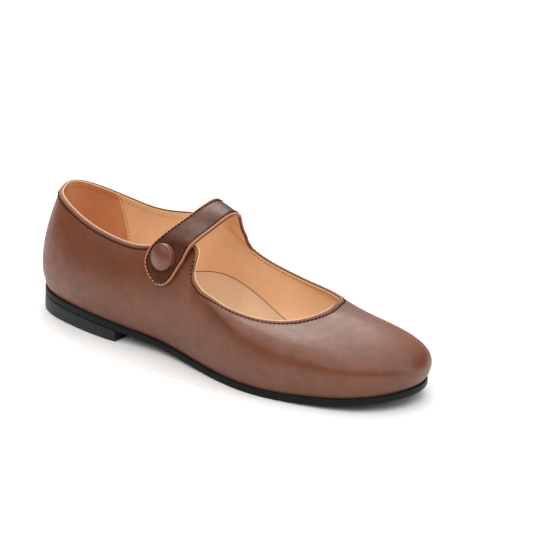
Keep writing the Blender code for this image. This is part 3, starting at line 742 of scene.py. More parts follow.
def thread(name, colour):
    """Twisted sewing thread: a fine wave across its strands."""
    material, tree, shader, place = new_material(name)
    strand = noise(tree, place, STRAND_SIZE, 1.0)
    tone = ramp(tree, strand, 0.3, 0.7, colour, shade(colour, 1.8))
    tree.links.new(tone, shader.inputs["Base Color"])
    shader.inputs["Roughness"].default_value = 0.7
    shader.inputs["Specular IOR Level"].default_value = 0.1
    add_bump(tree, shader, strand, 0.05 * MM, 0.5)
    return material


def across(outer, inner, columns, height):
    """Return points across the shoe from each outer place to its inner one, at a height by x."""
    share = np.linspace(0.0, 1.0, columns)[None, :, None]
    plan = blend(outer[:, None, :2], inner[:, None, :2], share)
    return np.concatenate([plan, height(plan[..., 0])[..., None]], axis=2)


def both_sides(ring):
    """Return a ring's outer half from heel back to toe tip, and its inner half the same way."""
    half = len(ring) // 2
    return ring[: half + 1], np.concatenate([ring[:1], ring[half:][::-1]])


def slab(sides, columns, top_height, bottom_height):
    """Return closed slices through a flat piece from the outer and inner sides of its edge's rings.

    The rings run from the top down, and the faces between the sides have their heights by x.
    """
    outers, inners = zip(*sides)
    parts = [across(outers[0], inners[0], columns, top_height)]
    parts += [inner[:, None] for inner in inners[1:-1]]
    parts.append(across(inners[-1], outers[-1], columns, bottom_height))
    parts += [outer[:, None] for outer in outers[-2:0:-1]]
    return np.concatenate(parts, axis=1)


# The edges of sole and heel, from the top down: margin is how far a ring stands out from the sole's
# edge in mm. In the sole's, share is of its thickness below its top and offset goes further down. In
# the heel's, share is of its height above the floor and offset goes further up. Offsets are in mm.
EdgeRing = namedtuple("EdgeRing", "margin share offset")
OUTSOLE_EDGE = (
    EdgeRing(-0.60, 0.0, 0.00),
    EdgeRing(-0.30, 0.0, 0.03),
    EdgeRing(-0.08, 0.0, 0.16),
    EdgeRing(0.00, 0.0, 0.42),
    EdgeRing(0.04, 0.5, 0.00),
    EdgeRing(0.00, 1.0, -0.55),
    EdgeRing(-0.10, 1.0, -0.22),
    EdgeRing(-0.32, 1.0, -0.05),
    EdgeRing(-0.60, 1.0, 0.00),
)
HEEL_EDGE = (
    EdgeRing(-0.45, 1.0, 0.00),
    EdgeRing(-0.12, 1.0, -0.10),
    EdgeRing(0.00, 1.0, -0.38),
    EdgeRing(0.10, 0.5, 0.00),
    EdgeRing(0.00, 0.0, 0.50),
    EdgeRing(-0.12, 0.0, 0.14),
    EdgeRing(-0.45, 0.0, 0.00),
)
HEEL_ROWS = 90

# Points across the sole, the heel, and the footbed's top and underside; how far the footbed stays
# from the wall; and the dark tube along its edge, painted shadow for its gap to the wall, which
# stands out a little
SOLE_COLUMNS = 25
HEEL_COLUMNS = 15
BED_COLUMNS = 61
BED_UNDER_COLUMNS = 13
BED_GAP = 0.25 * MM
BED_SHADOW_LINE_RADIUS = 0.22 * MM
BED_SHADOW_LINE_SIDES = 8
BED_SHADOW_LINE_OUT = 0.05 * MM


class SHOE_OT_outsole(bpy.types.Operator):
    """Make the thin black outsole, with softened edges"""

    bl_idname = "shoe.outsole"
    bl_label = "Outsole"

    def execute(self, context):
        """The edge is a row of margins and drops, carried round the feather line."""
        sides = []
        for ring in OUTSOLE_EDGE:
            plan = EVEN_LAST.outline(SOLE_MARGIN + ring.margin * MM)
            drop = ring.share * SOLE_THICKNESS + ring.offset * MM
            sides.append(both_sides(np.column_stack([plan, sole_top(plan[:, 0]) - drop])))
        grid = slab(sides, SOLE_COLUMNS, sole_top, sole_bottom)
        material = rubber("sole_rubber", shade(context.scene.shoe_colours.sole, 0.6), 0.12)
        add_slices("outsole_edge_and_tread", grid, False, material, ("outsole",))
        return {"FINISHED"}


def heel_top(x):
    """Return the height of the heel's top at each x, a seam's gap below the sole."""
    return sole_bottom(x) - SEAM_GAP


def heel_lines(margin, rows):
    """Return the heel's outline on both sides, evenly spaced from the heel back to its breast."""
    sides = []
    for side in both_sides(EVEN_LAST.outline(margin)):
        ahead = np.argmax(side[:, 0] > HEEL_LENGTH)
        share = (HEEL_LENGTH - side[ahead - 1, 0]) / (side[ahead, 0] - side[ahead - 1, 0])
        line = np.vstack([side[:ahead], side[ahead - 1] + (side[ahead] - side[ahead - 1]) * share])
        run = running_length(line)
        sides.append(points_along(line, run, np.linspace(0.0, run[-1], rows)))
    return sides


class SHOE_OT_heel(bpy.types.Operator):
    """Make the low black heel, flat on the floor and straight at the front"""

    bl_idname = "shoe.heel"
    bl_label = "Heel"

    def execute(self, context):
        """Each ring has a margin and a share of the heel's height, which follows the sole above."""
        sides = []
        for ring in HEEL_EDGE:
            lines = heel_lines(SOLE_MARGIN + ring.margin * MM, HEEL_ROWS)
            heights = [heel_top(line[:, 0]) * ring.share + ring.offset * MM for line in lines]
            sides.append([np.column_stack(both) for both in zip(lines, heights)])
        grid = slab(sides, HEEL_COLUMNS, heel_top, np.zeros_like)
        material = rubber("heel_rubber", tuple(context.scene.shoe_colours.sole), 0.3)
        add_slices("heel_lift", grid, False, material, ("heel_block",))
        return {"FINISHED"}


def ring_at_heights(face, heights):
    """Return the point of each rib at its own height, by straight steps between its rows."""
    above = np.clip((face[..., 2] < heights[:, None]).sum(axis=1), 1, face.shape[1] - 1)
    rib = np.arange(len(face))
    low, high = face[rib, above - 1], face[rib, above]
    share = (heights - low[:, 2]) / (high[:, 2] - low[:, 2])
    return low + (high - low) * share[:, None]


class SHOE_OT_insole(bpy.types.Operator):
    """Make the tan footbed, cupped to the wall and raised under the arch, and a dark line of painted shadow
    along its edge
    """

    bl_idname = "shoe.insole"
    bl_label = "Footbed"

    def execute(self, context):
        """The bed falls from its rim as the square of the nearness to it."""
        clear = EVEN_LAST.face(UPPER_WALL + BED_GAP)
        bottom = clear[:, 0]
        rim_height = bottom[:, 2] + INSOLE_THICKNESS + EVEN_LAST.cup
        rim = ring_at_heights(clear, rim_height)
        half_way = ring_at_heights(clear, 0.5 * (bottom[:, 2] + rim_height))
        outer, inner = both_sides(rim)
        share = np.linspace(0.0, 1.0, BED_COLUMNS)[None, :]
        plan = blend(outer[:, None, :2], inner[:, None, :2], share[..., None])
        middle = sole_top(plan[..., 0]) + FLUSH_GAP + INSOLE_THICKNESS
        width = np.linalg.norm(inner[:, :2] - outer[:, :2], axis=1)[:, None]
        from_side = np.minimum(share, 1.0 - share) * width
        nearness = np.clip(1.0 - from_side / INSOLE_CUP_RUN, 0.0, 1.0) ** 2
        side = np.where(share < 0.5, outer[:, None, 2], inner[:, None, 2])
        bed = np.concatenate([plan, (middle + (side - middle) * nearness)[..., None]], axis=2)
        low_outer, low_inner = both_sides(bottom)
        mid_outer, mid_inner = both_sides(half_way)
        under = across(low_inner, low_outer, BED_UNDER_COLUMNS, lambda x: sole_top(x) + FLUSH_GAP)
        grid = np.concatenate([bed, mid_inner[:, None], under, mid_outer[:, None]], axis=1)
        add_slices("footbed", grid, False, leather("footbed"), ("insole",))
        # A dark tube along the footbed's edge, painted shadow for its gap to the wall
        up = np.broadcast_to([0.0, 0.0, 1.0], rim.shape)
        flat_out = np.column_stack([EVEN_LAST.outward, np.zeros(len(rim))])
        radii = (BED_SHADOW_LINE_RADIUS, BED_SHADOW_LINE_RADIUS)
        add_tube(
            "footbed_edge_line", rim + flat_out * BED_SHADOW_LINE_OUT, (flat_out, up), radii,
            BED_SHADOW_LINE_SIDES, True, leather("footbed_edge"),
        )
        return {"FINISHED"}


# How deep in the wall the layers' hidden faces lie: the leather's inner and the linings' outer one, as
# shares of the wall; and the linings' own faces, beside the wall's inner one
LEATHER_SHARE = 0.62
LINING_SHARE = 0.64
HEEL_LINING_LIFT = -0.15 * MM
FRONT_LINING_LIFT = 0.10 * MM

# The linings' top edge: how far in from the topline it lies, and how far below its pale edge
LINING_RIM_IN = 1.75 * MM
LINING_RIM_DROP = 0.25 * MM

# The upper's rows: how far each fine one lies below the topline, and how many lie below those
FINE_ROWS = (2.8, 2.4, 2.1, 1.85, 1.65, 1.5, 1.36, 1.25, 1.14, 1.0, 0.84, 0.62, 0.4, 0.2, 0.0)
COARSE_ROWS = 40
TROUGH_WIDTH = 0.36 * MM

# The leather's top edge: how far in it lies, as a share of the wall, and how high
CREST_SHARE = 0.3
CREST_HEIGHT = 0.25 * MM


class SHOE_OT_upper(bpy.types.Operator):
    """Make the brown leather of the upper, with the trough its stitches lie in"""

    bl_idname = "shoe.upper"
    bl_label = "Upper"

    def execute(self, context):
        """Outer face minus a soft trough exp(-(d / width)^2) along the topline's stitch row."""
        length = running_length(LAST.ribs, axis=1)[:, -1]
        fine = np.array(FINE_ROWS) * MM
        coarse = np.linspace(1.0, 0.0, COARSE_ROWS + 1)[:-1]
        distances = [fine[0] + (length - fine[0]) * share for share in coarse]
        distances += [np.full(len(length), row) for row in fine]
        lines, normals = zip(*[LAST.line_below(distance, 0.0) for distance in distances])
        from_stitches = np.stack(distances, axis=1) - context.scene.shoe_sizes.topline_stitch_depth
        trough = np.exp(-((from_stitches / TROUGH_WIDTH) ** 2)) * STITCH_TROUGH
        outer = np.stack(lines, axis=1) - np.stack(normals, axis=1) * trough[..., None]
        crest = LAST.edge_line(CREST_SHARE * UPPER_WALL, CREST_HEIGHT)
        outer = np.concatenate([outer, crest[:, None]], axis=1)
        inner = LAST.face(LEATHER_SHARE * UPPER_WALL)
        add_ring_shell("upper_leather", outer, inner, leather("upper"), ("upper",))
        return {"FINISHED"}


# The pale edge of the lining: its height above the topline at places round the shoe. It shows over
# the outer side's rim, and lies lower on the inner side.
LINING_EDGE_PLACES = (0.0, 0.06, 0.50, 0.58, 0.86, 0.94, 1.0)
LINING_EDGE_HEIGHTS = (0.30, 0.45, 0.45, -0.30, -0.30, 0.00, 0.30)

# The rolls on the topline and the strap have this many sides. Where the strap goes into the wall the
# topline's rolls grow thinner by a share, over a run behind the strap and from before to behind its
# front edge.
ROLL_SIDES = 14
ROLL_THINNING = 0.95
REAR_RUN = 1.5 * MM
FRONT_BEFORE = 1.0 * MM
FRONT_AFTER = 0.8 * MM

# The dark strip that the topline's stitches lie in, painted shade for the shadow in their trough:
# how deep its middle is, its half height and its half width
SHADE_STRIP_DEPTH = 0.08 * MM
SHADE_STRIP_HEIGHT = 0.10 * MM
SHADE_STRIP_WIDTH = 0.55 * MM
SHADE_STRIP_SIDES = 10


def beside_strap(line):
    """Return 1 where a line round the topline is free and 0.05 where the strap goes into the wall."""
    rear = STRAP[-2].rear_x * SHOE_LENGTH
    front = STRAP[-2].front_x * SHOE_LENGTH + FLARE_RUN
    taken = smooth_step(rear - REAR_RUN, rear, line[:, 0])
    taken = taken - smooth_step(front - FRONT_BEFORE, front + FRONT_AFTER, line[:, 0])
    return 1.0 - ROLL_THINNING * np.where(line[:, 1] > 0.0, taken, 0.0)[:, None, None]


def pale_height():
    """Return the height of the lining's pale edge above the topline, at each rib."""
    return np.interp(LAST.places, LINING_EDGE_PLACES, LINING_EDGE_HEIGHTS)[:, None] * MM


class SHOE_OT_topline(bpy.types.Operator):
    """Make the two rolled pipings on the topline, the fold inside them, darkened with painted shade, and the
    lining's pale edge
    """

    bl_idname = "shoe.topline"
    bl_label = "Topline"

    def execute(self, context):
        """Each roll is a tube along the topline, set in from the outer face and up the wall."""
        sizes = context.scene.shoe_sizes
        flat = np.clip(LAST.normals[:, -1, 2:3], 0.0, 1.0)
        # name, leather, slot, how far inward and how far up it lies, radius
        rolls = (
            ("topline_outer_piping", "outer_piping", "brown_leather",
             (0.28 - 0.16 * flat) * MM, (-0.32 + 0.27 * flat) * MM, 0.95 * sizes.piping_radius),
            ("topline_piping", "piping", "brown_leather", 0.92 * MM, 0.20 * MM, sizes.piping_radius),
            # The fold's dark tone is painted shade of the gap between the pipings and the lining
            ("topline_fold", "fold", "brown_leather", 1.55 * MM, 0.02 * MM, 0.52 * MM),
            ("lining_edge", "lining_edge", "tan_leather", 1.98 * MM, pale_height(), 0.27 * MM),
        )
        for name, kind, slot, inward, up, radius in rolls:
            centre, level, raised = LAST.rim_line(inward, up)
            if name != "topline_outer_piping":
                radius = radius * beside_strap(centre)
            add_tube(name, centre, (level, raised), (radius, radius), ROLL_SIDES, True, leather(kind))
        line, facing = LAST.line_below(sizes.topline_stitch_depth, 0.0)
        add_stitches(
            "topline_stitches", line, facing, True,
            thread("upper_thread", tuple(context.scene.shoe_colours.thread)),
            sizes.stitch_pitch, sizes.stitch_length, sizes.thread_radius,
        )
        beside = unit(np.cross(facing, LAST.around[:, -1]))
        # A dark strip under the stitches, painted shade for the shadow in their trough
        add_tube(
            "topline_stitch_channel", line - facing * SHADE_STRIP_DEPTH, (facing, beside),
            (SHADE_STRIP_HEIGHT, SHADE_STRIP_WIDTH), SHADE_STRIP_SIDES, True, leather("stitch_channel"),
        )
        return {"FINISHED"}


# Where the heel lining meets the front one, as shares of the way round the shoe at the topline, how
# far the seam runs forward on its way down, and how far its stitches lie in front of it.
HEEL_SEAM_OUTER = 0.088
HEEL_SEAM_INNER = 0.9175
HEEL_SEAM_RUN = 0.008
HEEL_SEAM_LAP = 0.006
HEEL_STITCH_PLACE = 0.0022
HEEL_LINING_COLUMNS = 130

# The lining's stitches: the row of the wall where those of the heel seams start, their pitch and
# their length, and the radius of all of them
HEEL_STITCH_START = 3
HEEL_STITCH_PITCH = 1.9 * MM
HEEL_STITCH_LENGTH = 1.3 * MM
FINE_THREAD_RADIUS = 0.17 * MM


class SHOE_OT_lining(bpy.types.Operator):
    """Make the tan lining in two parts, with the seams behind the heel and the stitch rows"""

    bl_idname = "shoe.lining"
    bl_label = "Lining"

    def execute(self, context):
        """Both parts are shells just inside the wall; the front one laps over the heel one."""
        sizes = context.scene.shoe_sizes
        rim = LAST.rim_line(LINING_RIM_IN, pale_height() - LINING_RIM_DROP)[0]
        depths = (LINING_SHARE * UPPER_WALL, UPPER_WALL + HEEL_LINING_LIFT, UPPER_WALL + FRONT_LINING_LIFT)
        outer, heel_inner, front_inner = (
            np.concatenate([LAST.face(depth), rim[:, None]], axis=1) for depth in depths
        )
        inwards = np.concatenate([LAST.normals[:, :1], LAST.normals, LAST.normals[:, -1:]], axis=1)
        climb = running_length(outer, axis=1).mean(axis=0)
        run = HEEL_SEAM_RUN * (1.0 - climb / climb[-1]) ** 1.5
        between = (LAST.places > HEEL_SEAM_OUTER) & (LAST.places < HEEL_SEAM_INNER)
        front_places = np.concatenate([[HEEL_SEAM_OUTER], LAST.places[between], [HEEL_SEAM_INNER]])
        squeeze = HEEL_SEAM_INNER + HEEL_SEAM_OUTER - 2.0 * front_places
        squeeze = squeeze / (HEEL_SEAM_INNER - HEEL_SEAM_OUTER)
        heel_places = np.linspace(
            HEEL_SEAM_INNER - HEEL_SEAM_LAP, 1.0 + HEEL_SEAM_OUTER + HEEL_SEAM_LAP, HEEL_LINING_COLUMNS
        )
        spread = heel_places - 0.5 * (HEEL_SEAM_INNER + 1.0 + HEEL_SEAM_OUTER)
        spread = spread / (0.5 * (1.0 + HEEL_SEAM_OUTER - HEEL_SEAM_INNER))
        for name, kind, inner, places, side in (
            ("front_lining", "lining", front_inner, front_places, squeeze),
            ("heel_lining", "heel_lining", heel_inner, heel_places, spread),
        ):
            faces = [self.slide(face, places, side, run) for face in (outer, inner)]
            add_strip_shell(name, *faces, leather(kind), "tan_leather")
        fine = thread("lining_thread", shade(context.scene.shoe_colours.piping, 0.55))
        for name, seam, ahead in (("outer", HEEL_SEAM_OUTER, 1.0), ("inner", HEEL_SEAM_INNER, -1.0)):
            side = np.array([ahead])
            column = self.slide(front_inner, np.array([seam + ahead * HEEL_STITCH_PLACE]), side, run)[0]
            facing = self.slide(-inwards, np.array([seam]), side, run)[0]
            add_stitches(
                "heel_seam_stitches_" + name, column[HEEL_STITCH_START:], unit(facing[HEEL_STITCH_START:]),
                False, fine, HEEL_STITCH_PITCH, HEEL_STITCH_LENGTH, FINE_THREAD_RADIUS,
            )
        line, facing = LAST.line_below(sizes.lining_stitch_depth, UPPER_WALL + FRONT_LINING_LIFT)
        free = beside_strap(LAST.ribs[:, -1])[:, 0, 0] > 0.99
        start = np.flatnonzero(free & ~np.roll(free, 1))[0]
        line, facing = (np.roll(rows, -start, axis=0)[: free.sum()] for rows in (line, facing))
        add_stitches(
            "lining_stitches", line, -facing, False, fine,
            sizes.stitch_pitch, 0.8 * sizes.stitch_length, FINE_THREAD_RADIUS,
        )
        return {"FINISHED"}

    def slide(self, face, places, side, run):
        """Return the face at places, slid forward row by row; side is 1 or -1 at the two seams."""
        rows = []
        for row, distance in enumerate(run):
            at = places + side * distance
            rows.append([np.interp(at, LAST.places, face[:, row, axis], period=1.0) for axis in range(3)])
        return np.moveaxis(np.array(rows), -1, 0)


def strap_edges():
    """Return the strap's rear and front edge as points on the last, one pair per table row."""
    edges = []
    for x, y, z in (("rear_x", "rear_y", "rear_z"), ("front_x", "front_y", "front_z")):
        along = np.array([getattr(row, x) for row in STRAP]) * SHOE_LENGTH
        sideways = np.array([getattr(row, y) for row in STRAP]) * BALL_WIDTH
        height = sole_top(along) + np.array([getattr(row, z) for row in STRAP]) * UPPER_HEIGHT
        edges.append(np.column_stack([along, sideways, height]))
    return edges


def wall_y(wall, x, z):
    """Return y of a wall at each x and z: first along each rib to z, then between ribs to x.

    The wall's ribs run towards the toe. Where a rib ends below z its y is far away, so nothing is
    moved there.
    """
    far_away = 1.0
    above = (wall[None, ..., 2] < z[:, None, None]).sum(axis=2)
    topless = above >= wall.shape[1]
    above = np.clip(above, 1, wall.shape[1] - 1)
    rib = np.arange(len(wall))[None, :]
    low, high = wall[rib, above - 1], wall[rib, above]
    share = np.clip((z[:, None] - low[..., 2]) / (high[..., 2] - low[..., 2]), 0.0, 1.0)
    rib_x = low[..., 0] + (high[..., 0] - low[..., 0]) * share
    rib_y = np.where(topless, far_away, low[..., 1] + (high[..., 1] - low[..., 1]) * share)
    after = np.clip((rib_x < x[:, None]).sum(axis=1), 1, len(wall) - 1)
    point = np.arange(len(x))
    first_x, last_x = rib_x[point, after - 1], rib_x[point, after]
    between = np.clip((x - first_x) / np.maximum(last_x - first_x, 1e-9), 0.0, 1.0)
    return rib_y[point, after - 1] + (rib_y[point, after] - rib_y[point, after - 1]) * between


# How far the strap's front edge runs forward where it meets the inner topline, and over what length;
# how deep the strap's middle lies in the wall there, and over what length it moves into it; between
# which places round the shoe that is; and where between two table rows the flare is 1, and its limit
FLARE_RUN = 1.5 * MM
FLARE_LENGTH = 2.8 * MM
SEWN_DEPTH = 1.12 * MM
SEWN_RUN = 8 * MM
SEWN_PLACES = (0.55, 0.95)
FLARE_SHARE = 0.55
FLARE_LIMIT = 1.6

# The tab's round end: the first turn and how many rows it has. How often the face and its normals
# are smoothed. How much thinner the strap is in the wall, over what length, and how far its rolled
# edges and stitches go on into it
TAB_START = 4.0
TAB_ROWS = 17
FACE_SMOOTHING = 6
NORMAL_SMOOTHING = 3
SEWN_THINNING = 0.55
THINNING_RUN = 2.0 * MM
ROLL_OVERRUN = 1.2 * MM

# How finely the strap is divided along and across, how high its crown stands, how deep and how wide
# the troughs of its stitches are, how far the edges of its two leathers are drawn in, and how far
# the stitches lie inside the binding and below the face's own height
STRAP_ROWS = 150
STRAP_COLUMNS = 45
STRAP_CROWN = 0.25 * MM
STRAP_TROUGH = 0.20 * MM
STRAP_TROUGH_WIDTH = 0.45 * MM
FACE_INSET = 0.50 * MM
LINING_INSET = 0.15 * MM
STITCH_MARGIN = 0.40 * MM
STITCH_DROP = 0.22 * MM


def strap_surface():
    """Return the strap's rows along its way, middle face, normals and where each column is sewn in.

    Both edges are curves through the table; the tab narrows as half a circle. On the walls the
    face is moved clear of them, and then it is smoothed along its way. At the inner topline the
    front edge runs forward as an exponential curve, and the face moves into the wall as a soft S.
    """
    rear, front = strap_edges()
    way = running_length(0.5 * (rear + front))
    half_width = 0.5 * np.linalg.norm(front[0] - rear[0])
    turns = np.radians(np.linspace(TAB_START, 90.0, TAB_ROWS + 1)[:-1])
    rows = np.linspace(half_width, way[-1], STRAP_ROWS)
    rows = np.concatenate([half_width * (1.0 - np.cos(turns)), rows])
    narrowing = np.concatenate([np.sin(turns), np.ones(STRAP_ROWS)])[:, None, None]
    rear = hermite(way, rear, np.gradient(rear, way, axis=0), rows)
    front = hermite(way, front, np.gradient(front, way, axis=0), rows)
    sewn = way[-3] + FLARE_SHARE * (way[-2] - way[-3])
    front[:, 0] += FLARE_RUN * np.minimum(np.exp((rows - sewn) / FLARE_LENGTH), FLARE_LIMIT)
    share = np.linspace(-1.0, 1.0, STRAP_COLUMNS)[None, :, None]
    grid = 0.5 * (rear + front)[:, None] + 0.5 * (front - rear)[:, None] * share * narrowing
    clearance = SEAM_GAP + 0.5 * STRAP_THICKNESS
    half, widest = ROUND_PLACES // 2, LOW_ROWS - 1
    outer_wall = (LAST.ribs + LAST.normals * clearance)[:half:2, widest:]
    inner_wall = (LAST.ribs - LAST.normals * (UPPER_WALL + clearance))[half::2, widest:][::-1]
    flat = grid.reshape(-1, 3)
    limit = np.where(
        flat[:, 1] < 0.0,
        wall_y(outer_wall, flat[:, 0], flat[:, 2]),
        wall_y(inner_wall, flat[:, 0], flat[:, 2]),
    )
    flat[:, 1] = np.minimum(flat[:, 1], limit)
    grid = smooth_rows(flat.reshape(grid.shape), FACE_SMOOTHING)
    inner_side = (LAST.places > SEWN_PLACES[0]) & (LAST.places < SEWN_PLACES[1])
    rim = LAST.edge_line(SEWN_DEPTH, 0.0)[inner_side][::-1]
    rim_y, rim_z = (np.interp(grid[..., 0], rim[:, 0], rim[:, axis]) for axis in (1, 2))
    under_rim = (grid[..., 2] < rim_z) & (grid[..., 1] > 0.0)
    under_rim[-1] = True
    crossing = under_rim.argmax(axis=0)
    reach = rows[crossing]
    move = (rim_y - grid[..., 1])[crossing, np.arange(STRAP_COLUMNS)]
    grid[..., 1] += move * smooth_step(reach - SEWN_RUN, reach, rows[:, None])
    normals = unit(np.cross(np.gradient(grid, axis=1), np.gradient(grid, axis=0)))
    return rows, grid, smooth_rows(normals, NORMAL_SMOOTHING), reach


def smooth_rows(grid, passes):
    """Return the grid with each row moved towards the mean of its two neighbours, a few times."""
    for _ in range(passes):
        grid = np.concatenate([grid[:1], 0.25 * (grid[:-2] + 2.0 * grid[1:-1] + grid[2:]), grid[-1:]])
    return grid


def strap_rim(grid, normals, inset, lift, keep):
    """Return the line round the strap's edge, an inset in from it and lifted, and its normals."""
    sideways = unit(grid[:, -1] - grid[:, 0])
    rear = grid[:, 0] + sideways * inset + normals[:, 0] * lift
    front = grid[:, -1] - sideways * inset + normals[:, -1] * lift
    line = np.concatenate([rear[keep[0]][::-1], front[keep[1]]])
    return line, np.concatenate([normals[keep[0], 0][::-1], normals[keep[1], -1]])


class SHOE_OT_strap(bpy.types.Operator):
    """Make the strap: dark leather face, tan lining under it, two rolled edges and the stitches"""

    bl_idname = "shoe.strap"
    bl_label = "Strap"

    def execute(self, context):
        """The face is crowned as a parabola across the strap, with a trough along each stitch row."""
        rows, grid, normals, reach = strap_surface()
        sunk = smooth_step(reach, reach + THINNING_RUN, rows[:, None])[..., None]
        thin = 1.0 - SEWN_THINNING * sunk
        half = 0.5 * STRAP_THICKNESS * thin
        share = np.linspace(-1.0, 1.0, STRAP_COLUMNS)[None, :, None]
        half_width = 0.5 * np.linalg.norm(grid[:, -1] - grid[:, 0], axis=1)[:, None, None]
        from_edge = half_width * (1.0 - np.abs(share))
        stitch_inset = 2.0 * context.scene.shoe_sizes.binding_radius + STITCH_MARGIN
        trough = np.exp(-(((from_edge - stitch_inset) / STRAP_TROUGH_WIDTH) ** 2)) * STRAP_TROUGH
        crown = STRAP_CROWN * (1.0 - share**2)
        middle = grid.mean(axis=1, keepdims=True)
        for name, kind, upper_lift, lower_lift, inset, replaces in (
            ("strap_leather", "strap", half - STRAP_CROWN + (crown - trough) * thin, -0.45 * half,
             FACE_INSET, ("strap",)),
            ("strap_lining", "strap_lining", -0.5 * half, -half, LINING_INSET, ()),
        ):
            drawn_in = 1.0 - np.minimum(inset / half_width, 0.9)
            lifted = [grid + normals * lift for lift in (upper_lift, lower_lift)]
            faces = [middle + (face - middle) * drawn_in for face in lifted]
            add_strip_shell(name, *faces, leather(kind), "strap_leather", replaces)
        shown = [rows < end + ROLL_OVERRUN for end in (reach[0], reach[-1])]
        self.bind(context, grid, normals, shown)
        wide = 2.0 * half_width[:, 0, 0] > 2.2 * stitch_inset
        self.sew(context, grid, normals, stitch_inset, [keep & wide for keep in shown])
        return {"FINISHED"}

    def bind(self, context, grid, normals, shown):
        """Roll the edges: each roll is a tube along the rim, a light one above a darker, wider one.

        Over the foot's inner side the rolls stand further out, up to the topline's own rim.
        """
        radius = context.scene.shoe_sizes.binding_radius
        inner = smooth_step(0.0, 16 * MM, grid[:, :1, 1])
        # name, leather, how far in from the rim and how far up it lies, radius
        rolls = (
            ("strap_binding", "binding", radius - 0.9 * MM * inner, 0.5 * STRAP_THICKNESS - radius,
             np.full_like(inner, radius)),
            ("strap_lower_edge", "lower_edge", (0.10 - 0.55 * inner) * MM, (-0.28 - 0.10 * inner) * MM,
             (0.48 + 0.25 * inner) * MM),
        )
        for name, kind, inset, lift, thick in rolls:
            line, facing = strap_rim(grid, normals, inset, lift, shown)
            thick = np.concatenate([thick[shown[0]][::-1], thick[shown[1]]])[..., None]
            side = unit(np.cross(np.gradient(line, axis=0), facing))
            axes = (side, facing)
            add_tube(name, line, axes, (thick, thick), ROLL_SIDES, False, leather(kind))

    def sew(self, context, grid, normals, inset, keep):
        """Sew round the strap's edge, at an inset, from end to end."""
        sizes = context.scene.shoe_sizes
        line, facing = strap_rim(grid, normals, inset, 0.5 * STRAP_THICKNESS - STITCH_DROP, keep)
        dark = thread("strap_thread", tuple(context.scene.shoe_colours.thread))
        add_stitches(
            "strap_stitches", line, facing, False, dark,
            sizes.stitch_pitch, sizes.stitch_length, sizes.thread_radius,
        )


# How finely the button is divided along its profile and round it, and the roll round its foot: its
# own radius, where it lies as a share of the button's radius, and its sides. The button stands a
# little clear of the strap.
BUTTON_ROWS = 60
BUTTON_COLUMNS = 72
COLLAR_RADIUS = 0.42 * MM
COLLAR_PLACE = 0.93
COLLAR_SIDES = 10
BUTTON_GAP = 0.35 * MM


class SHOE_OT_button(bpy.types.Operator):
    """Make the leather-covered button on the strap's tab"""

    bl_idname = "shoe.button"
    bl_label = "Button"

    def execute(self, context):
        """The profile is a smooth curve through its table, turned round the tab's own normal."""
        rows, grid, normals, _ = strap_surface()
        middle = STRAP_COLUMNS // 2
        seat = points_along(grid[:, middle], rows, BUTTON_SETBACK)
        facing = unit(points_along(normals[:, middle], rows, BUTTON_SETBACK))
        table = np.array([[ring.out * BUTTON_RADIUS, ring.up * BUTTON_HEIGHT] for ring in BUTTON])
        run = running_length(table)
        fine = np.linspace(0.0, run[-1], BUTTON_ROWS)
        profile = hermite(run, table, np.gradient(table, run, axis=0), fine)[:, None]
        first = unit(np.cross(facing, [0.0, 0.0, 1.0]))
        second = np.cross(facing, first)
        turn = np.linspace(0.0, 2.0 * math.pi, BUTTON_COLUMNS, endpoint=False)[:, None]
        wheel = np.cos(turn) * first + np.sin(turn) * second
        base = seat + facing * (0.5 * STRAP_THICKNESS + BUTTON_GAP)
        rings = base + wheel[None] * profile[..., :1] + facing * profile[..., 1:]
        # The button's lighter leather is a painted sheen
        add_slices("button_cover", rings, False, leather("button"), ("button",))
        centre = base + wheel * COLLAR_PLACE * BUTTON_RADIUS
        axes = (wheel, np.broadcast_to(facing, wheel.shape))
        radii = (COLLAR_RADIUS, COLLAR_RADIUS)
        collar = leather("button_collar")
        add_tube("button_collar", centre, axes, radii, COLLAR_SIDES, True, collar)
        return {"FINISHED"}


# The camera and the lamps. Angles are in degrees, and the camera looks at a point in the frame.
CAMERA_AZIMUTH = 34.794
CAMERA_ELEVATION = 20.842
CAMERA_ROLL = 2.16
CAMERA_DISTANCE = 1.400
CAMERA_TARGET = (0.002507, 0.031838, 0.038565)
IMAGE_SIDE = 533
FOCAL_PIXELS = 2612.3
SENSOR_WIDTH = 36.0

# The floor reaches this far to each side, and lies a hair under the sole
FLOOR_SIDE = 4.0
FLOOR_HEIGHT = -0.05 * MM

# Every lamp: its name, its place, what it points at, its width and height, its power in watts, its
# colour and whether it shows in gloss
Lamp = namedtuple("Lamp", "name place aim width height power colour glossy")
SOFT_WHITE = (1.0, 0.98, 0.96)
LAMPS = (
    Lamp("ceiling", (0.0, 0.0, 1.45), (0.0, 0.0, 0.0), 3.00, 3.00, 44.0, (1.0, 0.985, 0.965), True),
    Lamp("softbox", (-0.63, 0.90, 0.78), (0.0, 0.0, 0.0), 0.50, 0.42, 4.0, (1.0, 0.97, 0.94), True),
    Lamp("low softbox", (-0.45, 1.24, 0.48), (0.0, 0.0, 0.02), 1.00, 0.30, 1.3, SOFT_WHITE, True),
    Lamp("strip at the back", (-0.95, 0.55, 0.55), (-0.05, 0.0, 0.03), 0.30, 1.00, 2.0, SOFT_WHITE, True),
    Lamp("strip at the toe", (1.05, 0.20, 0.45), (0.06, 0.0, 0.02), 0.30, 0.90, 3.0, SOFT_WHITE, True),
    Lamp("fill in front", (0.10, -1.50, 1.20), (0.0, 0.0, 0.02), 1.60, 0.90, 12.0, (1.0, 0.98, 0.955), False),
)


